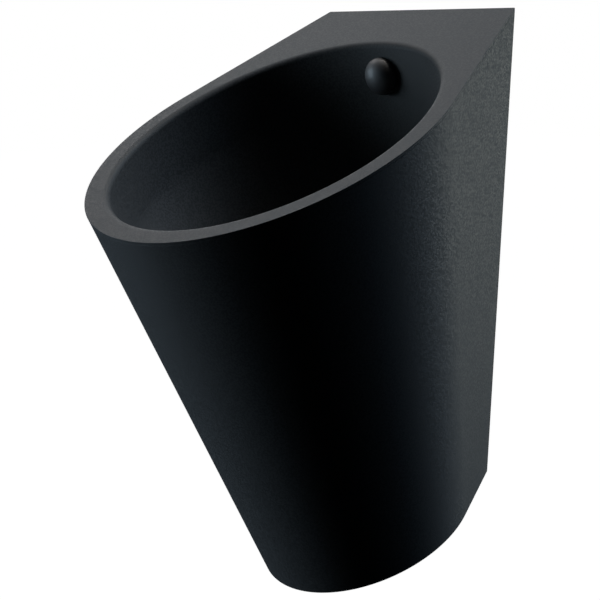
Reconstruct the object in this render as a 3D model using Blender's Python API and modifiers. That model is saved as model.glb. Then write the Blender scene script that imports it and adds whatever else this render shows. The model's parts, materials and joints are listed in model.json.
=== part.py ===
"""A wall-hung urinal: a tapered sheet-metal body with a sloping rim, a round bowl, an inlet and a trap.

The wall is the plane y = 0 and the object stands out from it towards -y. The origin is the middle of the
wall bracket's back face. Lengths are in metres and +Z is up.

The shell is set out from the sloping rim: "along" runs down the rim from its back edge at the wall, and
"deep" runs into the body at right angles to the rim. The water inlet is set out along its own axis, and
everything below the bowl from the middle of the drain.
"""

import math

import bmesh
import bpy
from mathutils import Matrix, Vector

# ---------------------------------------------------------------- body
RIM_TILT = math.radians(28.0)  # slope of the rim, down towards the front
RIM_RADIUS = 0.180  # outside of the rim's round part
RIM_CENTRE = 0.222  # from the rim's back edge to the round part's centre, along the rim
SIDE_ANGLE = math.radians(108.0)  # from the front to where the flat sides leave the round part
BODY_TAPER = 0.20  # radius lost per unit of depth, and the shift of the centre towards the front
BODY_LENGTH = 0.382  # rim to bottom edge, at right angles to the rim
BACK_TOP = 0.150  # height of the rim's back edge over the origin
SHEET = 0.0015  # sheet thickness
GAP = 0.0003  # left between faces that touch
SKIN_START = SHEET + 0.0012  # where the skin begins under the rim deck
RETURN_WIDTH = 0.020  # the skin's return against the wall

# ---------------------------------------------------------------- bowl
BOWL_RADIUS = 0.157  # where the bowl's wall would meet the rim with no rounding
BOWL_TAPER = 0.13
LIP_RADIUS = 0.006  # rounding between rim and bowl
LIP_EDGE = 0.164  # outside of the bowl's lip
WALL_DEPTH = 0.050  # depth of the bowl's straight wall, below the rim
FLOOR_FALL = math.radians(12.0)  # slope of the bowl's floor where it meets the drain
WALL_REACH = 0.10  # how far the floor's curve goes on along the wall, as a share of its chord
FLOOR_REACH = 0.26  # and how far it goes on along the slope at the drain

DRAIN = Vector((0.0, -0.125, BACK_TOP - 0.322))  # middle of the drain, level with the floor round it
DRAIN_RADIUS = 0.043  # edge of the recess
DRAIN_STEP = 0.003
DRAIN_BEND = 0.0006
SEAT_RADIUS = 0.040
DRAIN_HOLE = 0.0245

# ---------------------------------------------------------------- underside
BOTTOM_FLANGE_WIDTH = 0.018
BOTTOM_FLANGE_SET_IN = 0.0032
BOTTOM_FLANGE_OFF_WALL = 0.004
COVER_DEPTH = BODY_LENGTH - BOTTOM_FLANGE_SET_IN + GAP  # upper face of the cover
COVER_CLEAR = 0.0010  # between the cover's edge and the skin
HINGE_OFF_WALL = 0.0200  # hinge's axis from the wall, along the bottom
HINGE_DEPTH = COVER_DEPTH + 0.0022
HINGE_X = 0.036
BARREL_RADIUS = 0.0022
PIN_RADIUS = 0.0011
PIN_CLEAR = 0.0002
KNUCKLE_HALF = 0.0090  # half the length of the cover's knuckle
KNUCKLE_END = 0.0060  # length of each knuckle beside it
LEAF_DEPTH = 0.0140
TAB_DEPTH = 0.0080
SCREW_ANGLE = math.radians(38.0)  # from the front, round the flange
SIDES = ((-1, "left"), (1, "right"))

# ---------------------------------------------------------------- wall fixing
BRACKET_SHEET = 0.0025
BRACKET_HALF = 0.080
BRACKET_FOOT = -0.026
BRACKET_SHELF = 0.025
BRACKET_LIP = 0.011  # height of the upturned lip
BRACKET_REACH = 0.012
WALL_HOLE_X = 0.055
WALL_HOLE = 0.0045
RAIL_HALF = 0.100
RAIL_SHEET = 0.002
RAIL_TOP = 0.052
RAIL_FOOT = -0.020
TONGUE_OFF_WALL = 0.005
WEB_OFF_WALL = 0.0135

LOWER_FIX = BACK_TOP - 0.360  # underside of the lower crossbar
LOWER_BRACKET_HALF = 0.056
LOWER_BRACKET_RISE = 0.034
LOWER_BRACKET_REACH = 0.022
LOWER_WALL_HOLE_X = 0.020
LOWER_WALL_HOLE_RISE = 0.019
LOWER_WALL_HOLE = 0.0035
CROSSBAR_HALF = 0.082
CROSSBAR_SHEET = 0.002
CROSSBAR_RISE = 0.026
CROSSBAR_FRONT = -0.024
CROSSBAR_BACK = -0.004
LOCK_SCREW_X = 0.042
LOCK_SCREW_Y = -0.013
LOCK_HOLE = 0.0034

# ---------------------------------------------------------------- water inlet, heights along its axis
INLET_DEPTH = 0.0297  # of the inlet's axis on the bowl's rear wall
INLET_HOLE = 0.0109
SPREADER_RADIUS = 0.0178
SPREADER_HEIGHT = 0.0155
SPREADER_SIDE = 0.0030  # where the dome meets its straight side
SPREADER_SKIRT = 0.0015
SPREADER_WALL = 0.0020
TAIL_RADIUS = 0.0104
TAIL_BORE = 0.0075
TAIL_END = -0.026
INLET_SEAL_RADIUS = 0.0155

# ---------------------------------------------------------------- waste and trap, heights from the drain
WASTE_RADIUS = 0.023
WASTE_BORE = 0.020
WASTE_FLANGE = 0.0380
WASTE_END = -0.046
STRAINER_RADIUS = 0.033
STRAINER_HOLE = 0.002
STRAINER_CROWN = 0.0069  # height of the middle over the edge
STRAINER_SHEET = 0.0013

TRAP_SEAL = 0.0025
TRAP_NECK = 0.0260  # outside of the neck's collar
TRAP_NECK_FOOT = -0.0531
TRAP_RADIUS = 0.031
TRAP_WALL = 0.003
TRAP_THREAD = 0.0295
TRAP_BOTTOM = -0.120
DIP_RADIUS = 0.0165
DIP_END = -0.140
BRANCH_DROP = -0.082  # outlet's axis under the drain
BRANCH_RADIUS = 0.020
BRANCH_BORE = 0.015
BRANCH_SOCKET = 0.036  # where the pipe's socket starts, from the trap's axis
BRANCH_END = 0.050
CUP_RADIUS = 0.036
CUP_TOP = -0.1115
CUP_BOTTOM = -0.150
CUP_WALL = 0.0025
GRIP_COUNT = 12
GRIP_RADIUS = 0.0022
PIPE_RADIUS = 0.016
PIPE_BORE = 0.0145
COLLAR_RADIUS = 0.026

# ---------------------------------------------------------------- facets
ARC_STEPS = 44  # round the body's curved front
BOWL_STEPS = 36
FLOOR_STEPS = 9
LIP_STEPS = 3
ROUND_STEPS = 24
SMALL_STEPS = 12

UPRIGHT = (0.0, 0.0, 0.0)
LYING_ALONG_X = (0.0, math.pi / 2, 0.0)
LYING_ALONG_Y = (math.pi / 2, 0.0, 0.0)
TOWARDS_WALL = (-math.pi / 2, 0.0, 0.0)


# ---------------------------------------------------------------- scene and materials
def clear_scene():
    for old in list(bpy.data.objects):
        bpy.data.objects.remove(old, do_unlink=True)


def new_collection(name):
    collection = bpy.data.collections.new(name)
    bpy.context.scene.collection.children.link(collection)
    return collection


def new_material(name, colour, roughness, metallic=0.0):
    material = bpy.data.materials.new(name)
    material.use_nodes = True
    shader = material.node_tree.nodes["Principled BSDF"]
    shader.inputs["Base Color"].default_value = (*colour, 1.0)
    shader.inputs["Roughness"].default_value = roughness
    shader.inputs["Metallic"].default_value = metallic
    return material


clear_scene()
PARTS = new_collection("urinal")
CUTTERS = new_collection("cutters")

BLACK_COAT = new_material("black_coat", (0.020, 0.022, 0.024), 0.55)
BLACK_METAL = new_material("black_metal", (0.018, 0.019, 0.021), 0.30, 0.4)
STAINLESS = new_material("stainless", (0.55, 0.55, 0.54), 0.35, 1.0)
ZINC = new_material("zinc_plate", (0.62, 0.62, 0.60), 0.40, 1.0)
BRASS = new_material("brass", (0.72, 0.52, 0.22), 0.32, 1.0)
CHROME = new_material("chrome", (0.75, 0.76, 0.77), 0.12, 1.0)
RUBBER = new_material("rubber", (0.025, 0.025, 0.026), 0.80)
FIBRE = new_material("fibre", (0.45, 0.10, 0.06), 0.75)
TRAP_PLASTIC = new_material("trap_plastic", (0.82, 0.82, 0.80), 0.40)


# ---------------------------------------------------------------- frames
def rim_point(across, along, deep):
    """A point set out from the rim, in world coordinates."""
    out = along * math.cos(RIM_TILT) - deep * math.sin(RIM_TILT)
    drop = along * math.sin(RIM_TILT) + deep * math.cos(RIM_TILT)
    return Vector((across, -out, BACK_TOP - drop))


def add_empty(name, location, rotation=UPRIGHT, parent=None):
    empty = bpy.data.objects.new(name, None)
    empty.location = location
    empty.rotation_euler = rotation
    empty.parent = parent
    PARTS.objects.link(empty)
    return empty


# In the rim's frame y runs back up the rim and z out of the body.
RIM_FRAME = add_empty("rim_frame", (0.0, 0.0, BACK_TOP), (RIM_TILT, 0.0, 0.0))
DRAIN_FRAME = add_empty("drain_frame", DRAIN)

# The inlet's axis is square to the bowl's rear wall, which leans in by the bowl's taper on both sides.
INLET_DIP = RIM_TILT - math.atan(2 * BOWL_TAPER)
INLET_POINT = rim_point(0.0, RIM_CENTRE - BOWL_RADIUS + 2 * BOWL_TAPER * INLET_DEPTH, INLET_DEPTH)
INLET_FRAME = add_empty("inlet_frame", INLET_POINT, (math.pi / 2 + INLET_DIP, 0.0, 0.0))

HINGE_ALONG = HINGE_DEPTH * math.tan(RIM_TILT) + HINGE_OFF_WALL
HINGE_FRAME = add_empty("hinge_frame", rim_point(0.0, HINGE_ALONG, HINGE_DEPTH), (RIM_TILT, 0.0, 0.0))


# ---------------------------------------------------------------- shaping tools
def place(obj, material, parent=None, location=(0.0, 0.0, 0.0), rotation=UPRIGHT):
    """Puts the object in its place. With no material it is a cutter, or is joined to another object."""
    obj.location = location
    obj.rotation_euler = rotation
    obj.parent = parent
    if material is None:
        obj.hide_render = True
        obj.display_type = "WIRE"
        CUTTERS.objects.link(obj)
    else:
        obj.data.materials.append(material)
        PARTS.objects.link(obj)
    return obj


def mesh_object(name, points, faces, edges=()):
    mesh = bpy.data.meshes.new(name)
    mesh.from_pydata([tuple(p) for p in points], list(edges), faces)
    return bpy.data.objects.new(name, mesh)


def bmesh_object(name, bm):
    mesh = bpy.data.meshes.new(name)
    bm.to_mesh(mesh)
    bm.free()
    return bpy.data.objects.new(name, mesh)


def smooth(obj, angle=math.radians(35.0)):
    obj.data.shade_smooth()
    obj.data.set_sharp_from_angle(angle=angle)
    return obj


def turned(name, profile, material, parent, location=(0.0, 0.0, 0.0), rotation=UPRIGHT, steps=ROUND_STEPS):
    """A turned piece from (radius, height) points, which run down its outer side.

    A profile with both ends on the axis stays open. Any other closes from its last point to its first.
    """
    last = len(profile) - 1
    edges = [(i, i + 1) for i in range(last)]
    if profile[0][0] > 0 or profile[-1][0] > 0:
        edges.append((last, 0))
    obj = mesh_object(name, [(radius, 0.0, height) for radius, height in profile], [], edges)
    screw = obj.modifiers.new("Screw", "SCREW")
    screw.steps = screw.render_steps = steps
    screw.use_merge_vertices = True
    screw.merge_threshold = 0.00001
    screw.use_smooth_shade = True
    return place(obj, material, parent, location, rotation)


def ring(name, outer, inner, top, bottom, material, parent):
    return turned(name, [(outer, top), (outer, bottom), (inner, bottom), (inner, top)], material, parent)


def circle_points(radius, count):
    angles = [2 * math.pi * i / count for i in range(count)]
    return [(radius * math.cos(a), radius * math.sin(a)) for a in angles]


def plate(name, outlines, thickness, material, parent=None, location=(0.0, 0.0, 0.0), rotation=UPRIGHT):
    """A flat plate, half its thickness either side of its own plane. Outlines after the first are holes."""
    curve = bpy.data.curves.new(name, "CURVE")
    curve.dimensions = "2D"
    curve.fill_mode = "BOTH"
    curve.extrude = thickness / 2
    for outline in outlines:
        spline = curve.splines.new("POLY")
        spline.points.add(len(outline) - 1)
        spline.use_cyclic_u = True
        for point, (x, y) in zip(spline.points, outline):
            point.co = (x, y, 0.0, 1.0)
    return place(bpy.data.objects.new(name, curve), material, parent, location, rotation)


def section_bar(name, section, half_length, material):
    """A bar along x with a section given as (y, z) points."""
    return plate(name, [section], 2 * half_length, material, rotation=(math.pi / 2, 0.0, math.pi / 2))


def hex_nut(name, across_flats, bore, top, bottom, material, parent):
    hexagon = circle_points(across_flats / 2 / math.cos(math.pi / 6), 6)
    middle = (0.0, 0.0, (top + bottom) / 2)
    return plate(name, [hexagon, circle_points(bore, ROUND_STEPS)], top - bottom, material, parent, middle)


def as_mesh(obj):
    """The same object as a mesh with its caps welded, so that it can take a Boolean."""
    bpy.context.view_layer.update()
    graph = bpy.context.evaluated_depsgraph_get()
    bm = bmesh.new()
    bm.from_mesh(bpy.data.meshes.new_from_object(obj.evaluated_get(graph)))
    bmesh.ops.remove_doubles(bm, verts=bm.verts, dist=0.00001)
    bmesh.ops.recalc_face_normals(bm, faces=bm.faces)
    name = obj.name
    home = obj.users_collection[0]
    world = obj.matrix_world.copy()
    material = obj.data.materials[0]
    bpy.data.objects.remove(obj, do_unlink=True)
    made = bmesh_object(name, bm)
    made.data.materials.clear()
    made.data.materials.append(material)
    made.matrix_world = world
    home.objects.link(made)
    return made


def combine(obj, other, operation="DIFFERENCE"):
    boolean = obj.modifiers.new(other.name, "BOOLEAN")
    boolean.operation = operation
    boolean.solver = "EXACT"
    boolean.object = other
    return obj


def add_rod(bm, radius, low, high, steps, centre=(0.0, 0.0)):
    made = bmesh.ops.create_cone(bm, cap_ends=True, segments=steps, radius1=radius, radius2=radius,
                                 depth=high - low)
    bmesh.ops.translate(bm, verts=made["verts"], vec=(*centre, (low + high) / 2))


def add_box(bm, low, high):
    made = bmesh.ops.create_cube(bm, size=1.0)
    bmesh.ops.scale(bm, verts=made["verts"], vec=[b - a for a, b in zip(low, high)])
    bmesh.ops.translate(bm, verts=made["verts"], vec=[(a + b) / 2 for a, b in zip(low, high)])
    return made["verts"]


def rod(name, radius, low, high, parent=None, location=(0.0, 0.0, 0.0), rotation=UPRIGHT, steps=ROUND_STEPS):
    """A cylinder along its own z that cuts another object, or is joined to one."""
    bm = bmesh.new()
    add_rod(bm, radius, low, high, steps)
    return place(bmesh_object(name, bm), None, parent, location, rotation)


def box(name, low, high, material=None, parent=None):
    bm = bmesh.new()
    add_box(bm, low, high)
    return place(bmesh_object(name, bm), material, parent)


# ---------------------------------------------------------------- shell
def body_outline(deep, inset=0.0, off_wall=0.0):
    """The body's outline in the plane at this depth, as (across, along) from one wall corner to the other."""
    radius = RIM_RADIUS - BODY_TAPER * deep - inset
    centre = RIM_CENTRE + BODY_TAPER * deep
    wall = deep * math.tan(RIM_TILT) + off_wall
    corner = ((centre - wall) * math.cos(SIDE_ANGLE) + radius) / math.sin(SIDE_ANGLE)
    angles = [SIDE_ANGLE * (2 * i / ARC_STEPS - 1) for i in range(ARC_STEPS + 1)]
    arc = [(radius * math.sin(a), centre + radius * math.cos(a)) for a in angles]
    return [(-corner, wall), *arc, (corner, wall)]


def in_rim_frame(outline):
    return [(across, -along) for across, along in outline]


def build_outer_skin():
    """One folded sheet: round front, two flat sides and a return against the wall at each side."""
    rows = []
    for deep in (SKIN_START, BODY_LENGTH):
        outline = body_outline(deep)
        corner, wall = outline[-1]
        inner = corner - RETURN_WIDTH
        outline = [(-inner, wall), *outline, (inner, wall)]
        rows.append([(across, -along, -deep) for across, along in outline])
    count = len(rows[0])
    faces = [(i, i + count, i + count + 1, i + 1) for i in range(count - 1)]
    skin = place(mesh_object("outer_skin", rows[0] + rows[1], faces), BLACK_COAT, RIM_FRAME)
    solidify = skin.modifiers.new("Solidify", "SOLIDIFY")
    solidify.thickness = SHEET
    solidify.offset = -1.0
    solidify.use_even_offset = True
    return smooth(skin)


def build_rim_deck():
    hole = [(x, y - RIM_CENTRE) for x, y in circle_points(LIP_EDGE + GAP, 2 * BOWL_STEPS)]
    outline = in_rim_frame(body_outline(0.0, off_wall=SHEET * math.tan(RIM_TILT)))
    return plate("rim_deck", [outline, hole], SHEET, BLACK_COAT, RIM_FRAME, (0.0, 0.0, -SHEET / 2))


def bowl_wall_point(angle, deep):
    """A point on the bowl's straight wall. Angle 0 is the front and pi the wall side."""
    radius = BOWL_RADIUS - BOWL_TAPER * deep
    centre = RIM_CENTRE + BOWL_TAPER * deep
    return rim_point(radius * math.sin(angle), centre + radius * math.cos(angle), deep)


def lip_points(angle):
    """The flat edge and the rounding that turns it down into the wall."""
    turn = math.pi / 2 - math.atan(BOWL_TAPER * (1 - math.cos(angle)))
    start = BOWL_RADIUS + LIP_RADIUS * math.tan(turn / 2)
    stops = [turn * i / LIP_STEPS for i in range(LIP_STEPS + 1)]
    rounding = [(start - LIP_RADIUS * math.sin(a), LIP_RADIUS * (1 - math.cos(a))) for a in stops]
    radii = [(LIP_EDGE, 0.0), *rounding]
    return [rim_point(r * math.sin(angle), RIM_CENTRE + r * math.cos(angle), deep) for r, deep in radii]


def floor_points(angle):
    """A cubic curve from the end of the straight wall to the edge of the drain."""
    start = bowl_wall_point(angle, WALL_DEPTH)
    down = (start - bowl_wall_point(angle, 0.0)).normalized()
    outward = Vector((math.sin(angle), -math.cos(angle), 0.0))
    end = DRAIN + outward * DRAIN_RADIUS
    rise = outward * math.cos(FLOOR_FALL) + Vector((0.0, 0.0, math.sin(FLOOR_FALL)))
    chord = (end - start).length
    control = (start, start + down * WALL_REACH * chord, end + rise * FLOOR_REACH * chord, end)
    points = []
    for i in range(FLOOR_STEPS + 1):
        u = i / FLOOR_STEPS
        weights = ((1 - u) ** 3, 3 * u * (1 - u) ** 2, 3 * u * u * (1 - u), u ** 3)
        points.append(sum((p * w for p, w in zip(control, weights)), Vector()))
    return points


def drain_points(angle):
    """The step down to the seat, and the seat as far as the hole."""
    outward = Vector((math.sin(angle), -math.cos(angle), 0.0))
    steps = ((DRAIN_RADIUS - DRAIN_BEND, -DRAIN_BEND), (SEAT_RADIUS, -DRAIN_STEP), (DRAIN_HOLE, -DRAIN_STEP))
    return [DRAIN + outward * radius + Vector((0.0, 0.0, height)) for radius, height in steps]


def build_bowl():
    """A spun bowl: rounded lip, leaning round wall, dished floor and a recessed seat for the waste."""
    points = []
    for i in range(BOWL_STEPS):
        angle = 2 * math.pi * i / BOWL_STEPS
        meridian = lip_points(angle) + floor_points(angle) + drain_points(angle)
        points += meridian
    count = len(meridian)
    faces = []
    for i in range(BOWL_STEPS):
        a = i * count
        b = (i + 1) % BOWL_STEPS * count
        faces += [(b + j, b + j + 1, a + j + 1, a + j) for j in range(count - 1)]
    bowl = place(mesh_object("bowl", points, faces), BLACK_COAT)
    solidify = bowl.modifiers.new("Solidify", "SOLIDIFY")
    solidify.thickness = SHEET
    solidify.offset = -1.0
    combine(bowl, rod("inlet_hole", INLET_HOLE, -0.02, 0.02, INLET_FRAME))
    return smooth(bowl)


# ---------------------------------------------------------------- underside
def cover_screw_spot(side):
    """Where a cover screw stands, as (across, along), in the middle of the flange's width."""
    deep = BODY_LENGTH - BOTTOM_FLANGE_SET_IN
    radius = RIM_RADIUS - BODY_TAPER * deep - SHEET - BOTTOM_FLANGE_WIDTH / 2
    centre = RIM_CENTRE + BODY_TAPER * deep
    return side * radius * math.sin(SCREW_ANGLE), centre + radius * math.cos(SCREW_ANGLE)


def cover_screw_holes(radius):
    spots = [cover_screw_spot(side) for side, _ in SIDES]
    ring_points = circle_points(radius, SMALL_STEPS)
    return [[(across + x, y - along) for x, y in ring_points] for across, along in spots]


def build_bottom_flange():
    """A flat ring inside the skin's lower edge, which the cover closes against."""
    clearance = 0.0028
    deep = BODY_LENGTH - BOTTOM_FLANGE_SET_IN - SHEET / 2
    edge = SHEET + 2 * GAP
    outer = body_outline(deep, edge, BOTTOM_FLANGE_OFF_WALL)
    inner = body_outline(deep, edge + BOTTOM_FLANGE_WIDTH, BOTTOM_FLANGE_OFF_WALL + BOTTOM_FLANGE_WIDTH)
    outlines = [in_rim_frame(outer), in_rim_frame(inner), *cover_screw_holes(clearance)]
    return plate("bottom_flange", outlines, SHEET, STAINLESS, RIM_FRAME, (0.0, 0.0, -deep))


def build_service_cover():
    """A flat cover that closes the body from below and swings down on two hinges at the wall side."""
    clearance = 0.0026
    deep = COVER_DEPTH + SHEET / 2
    edge = body_outline(deep + SHEET, SHEET + COVER_CLEAR, HINGE_OFF_WALL + BARREL_RADIUS + 0.0008)
    outlines = [in_rim_frame(edge), *cover_screw_holes(clearance)]
    cover = as_mesh(plate("service_cover", outlines, SHEET, BLACK_COAT, RIM_FRAME, (0.0, 0.0, -deep)))
    face = HINGE_DEPTH - COVER_DEPTH
    for side, word in SIDES:
        x = side * HINGE_X
        ends = (x - KNUCKLE_HALF, x + KNUCKLE_HALF)
        tab = box(f"cover_tab_{word}", (ends[0], -TAB_DEPTH, face - SHEET), (ends[1], 0.0, face),
                  parent=HINGE_FRAME)
        combine(cover, tab, "UNION")
        combine(cover, hinge_rod(f"cover_knuckle_{word}", BARREL_RADIUS, *ends), "UNION")
        combine(cover, hinge_rod(f"cover_bore_{word}", PIN_RADIUS + PIN_CLEAR, *ends, past=0.01))


def hinge_rod(name, radius, low, high, past=0.0):
    return rod(name, radius, low - past, high + past, HINGE_FRAME, rotation=LYING_ALONG_X, steps=16)


def build_hinge(side, word):
    """The leaf that is welded under the flange, with a knuckle either side of the cover's, and the pin."""
    x = side * HINGE_X
    slot = KNUCKLE_HALF + GAP
    end = slot + KNUCKLE_END
    face = HINGE_DEPTH - COVER_DEPTH
    leaf = box(f"cover_hinge_{word}", (x - end, 0.0, face - SHEET), (x + end, LEAF_DEPTH, face),
               STAINLESS, HINGE_FRAME)
    for way in (-1, 1):
        near = x + way * slot
        far = x + way * end
        barrel = hinge_rod(f"hinge_knuckle_{word}_{way}", BARREL_RADIUS, min(near, far), max(near, far))
        combine(leaf, barrel, "UNION")
    reach = BARREL_RADIUS + 0.0028
    low, high = (x - slot, -reach, -reach), (x + slot, reach, reach)
    combine(leaf, box(f"hinge_notch_{word}", low, high, parent=HINGE_FRAME))
    combine(leaf, hinge_rod(f"hinge_bore_{word}", PIN_RADIUS + PIN_CLEAR, x - end, x + end, past=0.01))

    head, head_radius = 0.0010, 0.0019
    shoulder = end + GAP
    pin = [(0.0, shoulder + head), (head_radius, shoulder + head), (head_radius, shoulder),
           (PIN_RADIUS, shoulder), (PIN_RADIUS, -shoulder), (head_radius, -shoulder),
           (head_radius, -shoulder - head), (0.0, -shoulder - head)]
    turned(f"hinge_pin_{word}", pin, STAINLESS, HINGE_FRAME, (x, 0.0, 0.0), LYING_ALONG_X, SMALL_STEPS)


def build_cover_screw(side, word):
    """A captive screw with a low round head and a hexagon socket, and the nut on the flange above it."""
    shank, tip_radius, tip, taper = 0.0021, 0.0012, 0.0088, 0.0018
    head_radius, crown_radius, rim, head = 0.0050, 0.0036, 0.0008, 0.0024
    across, along = cover_screw_spot(side)
    frame = add_empty(f"cover_screw_frame_{word}", (across, -along, -COVER_DEPTH), parent=RIM_FRAME)
    under = -SHEET - GAP
    profile = [(0.0, tip), (tip_radius, tip), (shank, tip - taper), (shank, under), (head_radius, under),
               (head_radius, under - rim), (crown_radius, under - head + 0.0002), (0.0, under - head)]
    screw = as_mesh(turned(f"cover_screw_{word}", profile, STAINLESS, frame, steps=16))
    combine(screw, rod(f"cover_socket_{word}", 0.0018, under - 2 * head, under - rim, frame, steps=6))
    nut_foot = GAP + SHEET + GAP
    hex_nut(f"cover_nut_{word}", 0.009, 0.0027, nut_foot + 0.0038, nut_foot, ZINC, frame)


# ---------------------------------------------------------------- wall fixing
def build_hanger():
    """The body's rail drops a tongue behind the upturned lip of the bracket on the wall."""
    t = BRACKET_SHEET
    shelf = BRACKET_SHELF
    lip = shelf + BRACKET_LIP
    section = [(0.0, BRACKET_FOOT), (0.0, shelf), (t - BRACKET_REACH, shelf), (t - BRACKET_REACH, lip),
               (-BRACKET_REACH, lip), (-BRACKET_REACH, shelf - t), (-t, shelf - t), (-t, BRACKET_FOOT)]
    bracket = as_mesh(section_bar("wall_bracket", section, BRACKET_HALF, ZINC))
    for side, word in SIDES:
        spot = (side * WALL_HOLE_X, -t / 2, 0.0)
        combine(bracket, rod(f"wall_hole_{word}", WALL_HOLE, -t, t, None, spot, LYING_ALONG_Y))

    s = RAIL_SHEET
    tongue, web = -TONGUE_OFF_WALL, -WEB_OFF_WALL
    foot = shelf + GAP
    section = [(tongue, foot), (tongue, RAIL_TOP), (web - s, RAIL_TOP), (web - s, RAIL_FOOT),
               (web, RAIL_FOOT), (web, RAIL_TOP - s), (tongue - s, RAIL_TOP - s), (tongue - s, foot)]
    section_bar("hanger_rail", section, RAIL_HALF, STAINLESS)


def build_lower_fixing():
    """The body's crossbar rests on the lower wall bracket, and two screws from below lock it down."""
    t, s = BRACKET_SHEET, CROSSBAR_SHEET
    top = LOWER_FIX - GAP
    rise = top + LOWER_BRACKET_RISE
    section = [(0.0, top - t), (0.0, rise), (-t, rise), (-t, top), (-LOWER_BRACKET_REACH, top),
               (-LOWER_BRACKET_REACH, top - t)]
    bracket = as_mesh(section_bar("lower_wall_bracket", section, LOWER_BRACKET_HALF, ZINC))
    front, back = CROSSBAR_FRONT, CROSSBAR_BACK
    rise = LOWER_FIX + CROSSBAR_RISE
    section = [(back, LOWER_FIX), (back, LOWER_FIX + s), (front + s, LOWER_FIX + s), (front + s, rise),
               (front, rise), (front, LOWER_FIX)]
    crossbar = as_mesh(section_bar("lower_crossbar", section, CROSSBAR_HALF, STAINLESS))
    for side, word in SIDES:
        spot = (side * LOCK_SCREW_X, LOCK_SCREW_Y, LOWER_FIX)
        lock_hole = rod(f"lock_hole_{word}", LOCK_HOLE, -0.012, 0.012, location=spot, steps=16)
        combine(bracket, lock_hole)
        combine(crossbar, lock_hole)
        spot = (side * LOWER_WALL_HOLE_X, -t / 2, top + LOWER_WALL_HOLE_RISE)
        wall_hole = rod(f"lower_wall_hole_{word}", LOWER_WALL_HOLE, -t, t, None, spot, LYING_ALONG_Y, 16)
        combine(bracket, wall_hole)
        build_lock_screw(side, word)


def build_lock_screw(side, word):
    """An upward screw with a round head and a hexagon socket, and its nut on the crossbar."""
    shank, tip, chamfer = 0.0030, 0.016, 0.0004
    head_radius, crown_radius, rim, head = 0.0062, 0.0045, 0.0012, 0.0036
    frame = add_empty(f"lock_frame_{word}", (side * LOCK_SCREW_X, LOCK_SCREW_Y, LOWER_FIX))
    under = -GAP - BRACKET_SHEET - GAP
    profile = [(0.0, tip), (shank - chamfer, tip), (shank, tip - chamfer), (shank, under),
               (head_radius, under), (head_radius, under - rim), (crown_radius, under - head + 0.0002),
               (0.0, under - head)]
    screw = as_mesh(turned(f"lock_screw_{word}", profile, STAINLESS, frame))
    combine(screw, rod(f"lock_socket_{word}", 0.0024, under - 2 * head, under - rim, frame, steps=6))
    nut_foot = CROSSBAR_SHEET + GAP
    hex_nut(f"lock_nut_{word}", 0.010, 0.0033, nut_foot + 0.005, nut_foot, ZINC, frame)


# ---------------------------------------------------------------- water inlet
def dome_profile(radius, foot, height, steps):
    """A quarter ellipse from the crown down to the side."""
    angles = [math.pi / 2 * i / steps for i in range(steps + 1)]
    return [(radius * math.sin(a), foot + (height - foot) * math.cos(a)) for a in angles]


def build_spreader():
    """The domed cap in the bowl, with slots at its lower edge where the water leaves."""
    inner_radius = SPREADER_RADIUS - SPREADER_WALL
    outside = dome_profile(SPREADER_RADIUS, SPREADER_SIDE, SPREADER_HEIGHT, 6)
    inside = dome_profile(inner_radius, SPREADER_SIDE, SPREADER_HEIGHT - SPREADER_WALL, 4)
    profile = [*outside, (SPREADER_RADIUS, SPREADER_SKIRT), (inner_radius, SPREADER_SKIRT), *reversed(inside)]
    spreader = as_mesh(turned("inlet_spreader", profile, BLACK_METAL, INLET_FRAME))

    slot_count, slot_pitch = 5, math.radians(24.0)
    half_length, half_width, low, high = 0.0040, 0.0015, 0.0045, 0.0071
    bm = bmesh.new()
    for i in range(slot_count):
        near = (SPREADER_RADIUS - half_length, -half_width, low)
        verts = add_box(bm, near, (SPREADER_RADIUS + half_length, half_width, high))
        turn = slot_pitch * (i - (slot_count - 1) / 2) - math.pi / 2
        bmesh.ops.rotate(bm, verts=verts, cent=(0.0, 0.0, 0.0), matrix=Matrix.Rotation(turn, 3, "Z"))
    combine(spreader, place(bmesh_object("spreader_slots", bm), None, INLET_FRAME))


def build_inlet():
    """The threaded tail through the bowl's wall, and what clamps it there."""
    flange, flange_top, flange_foot = 0.0148, 0.0053, 0.0034
    mouth, mouth_foot = TAIL_BORE + 0.001, 0.0044
    tail = [(mouth, flange_top), (flange, flange_top), (flange, flange_foot), (TAIL_RADIUS, flange_foot),
            (TAIL_RADIUS, TAIL_END), (TAIL_BORE, TAIL_END), (TAIL_BORE, mouth_foot)]
    turned("inlet_tail", tail, BRASS, INLET_FRAME)
    ring("inlet_gasket", flange - 0.0002, TAIL_RADIUS + GAP, flange_foot - GAP, 0.0018, RUBBER, INLET_FRAME)

    seal, washer, nut = 0.0020, 0.0012, 0.0060
    level = -SHEET - 0.0004
    ring("inlet_rear_seal", INLET_SEAL_RADIUS, TAIL_RADIUS + GAP, level, level - seal, RUBBER, INLET_FRAME)
    level -= seal + GAP
    ring("inlet_washer", INLET_SEAL_RADIUS, TAIL_RADIUS + GAP, level, level - washer, STAINLESS, INLET_FRAME)
    level -= washer + GAP
    hex_nut("inlet_locknut", 0.027, TAIL_RADIUS + GAP, level, level - nut, BRASS, INLET_FRAME)


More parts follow.
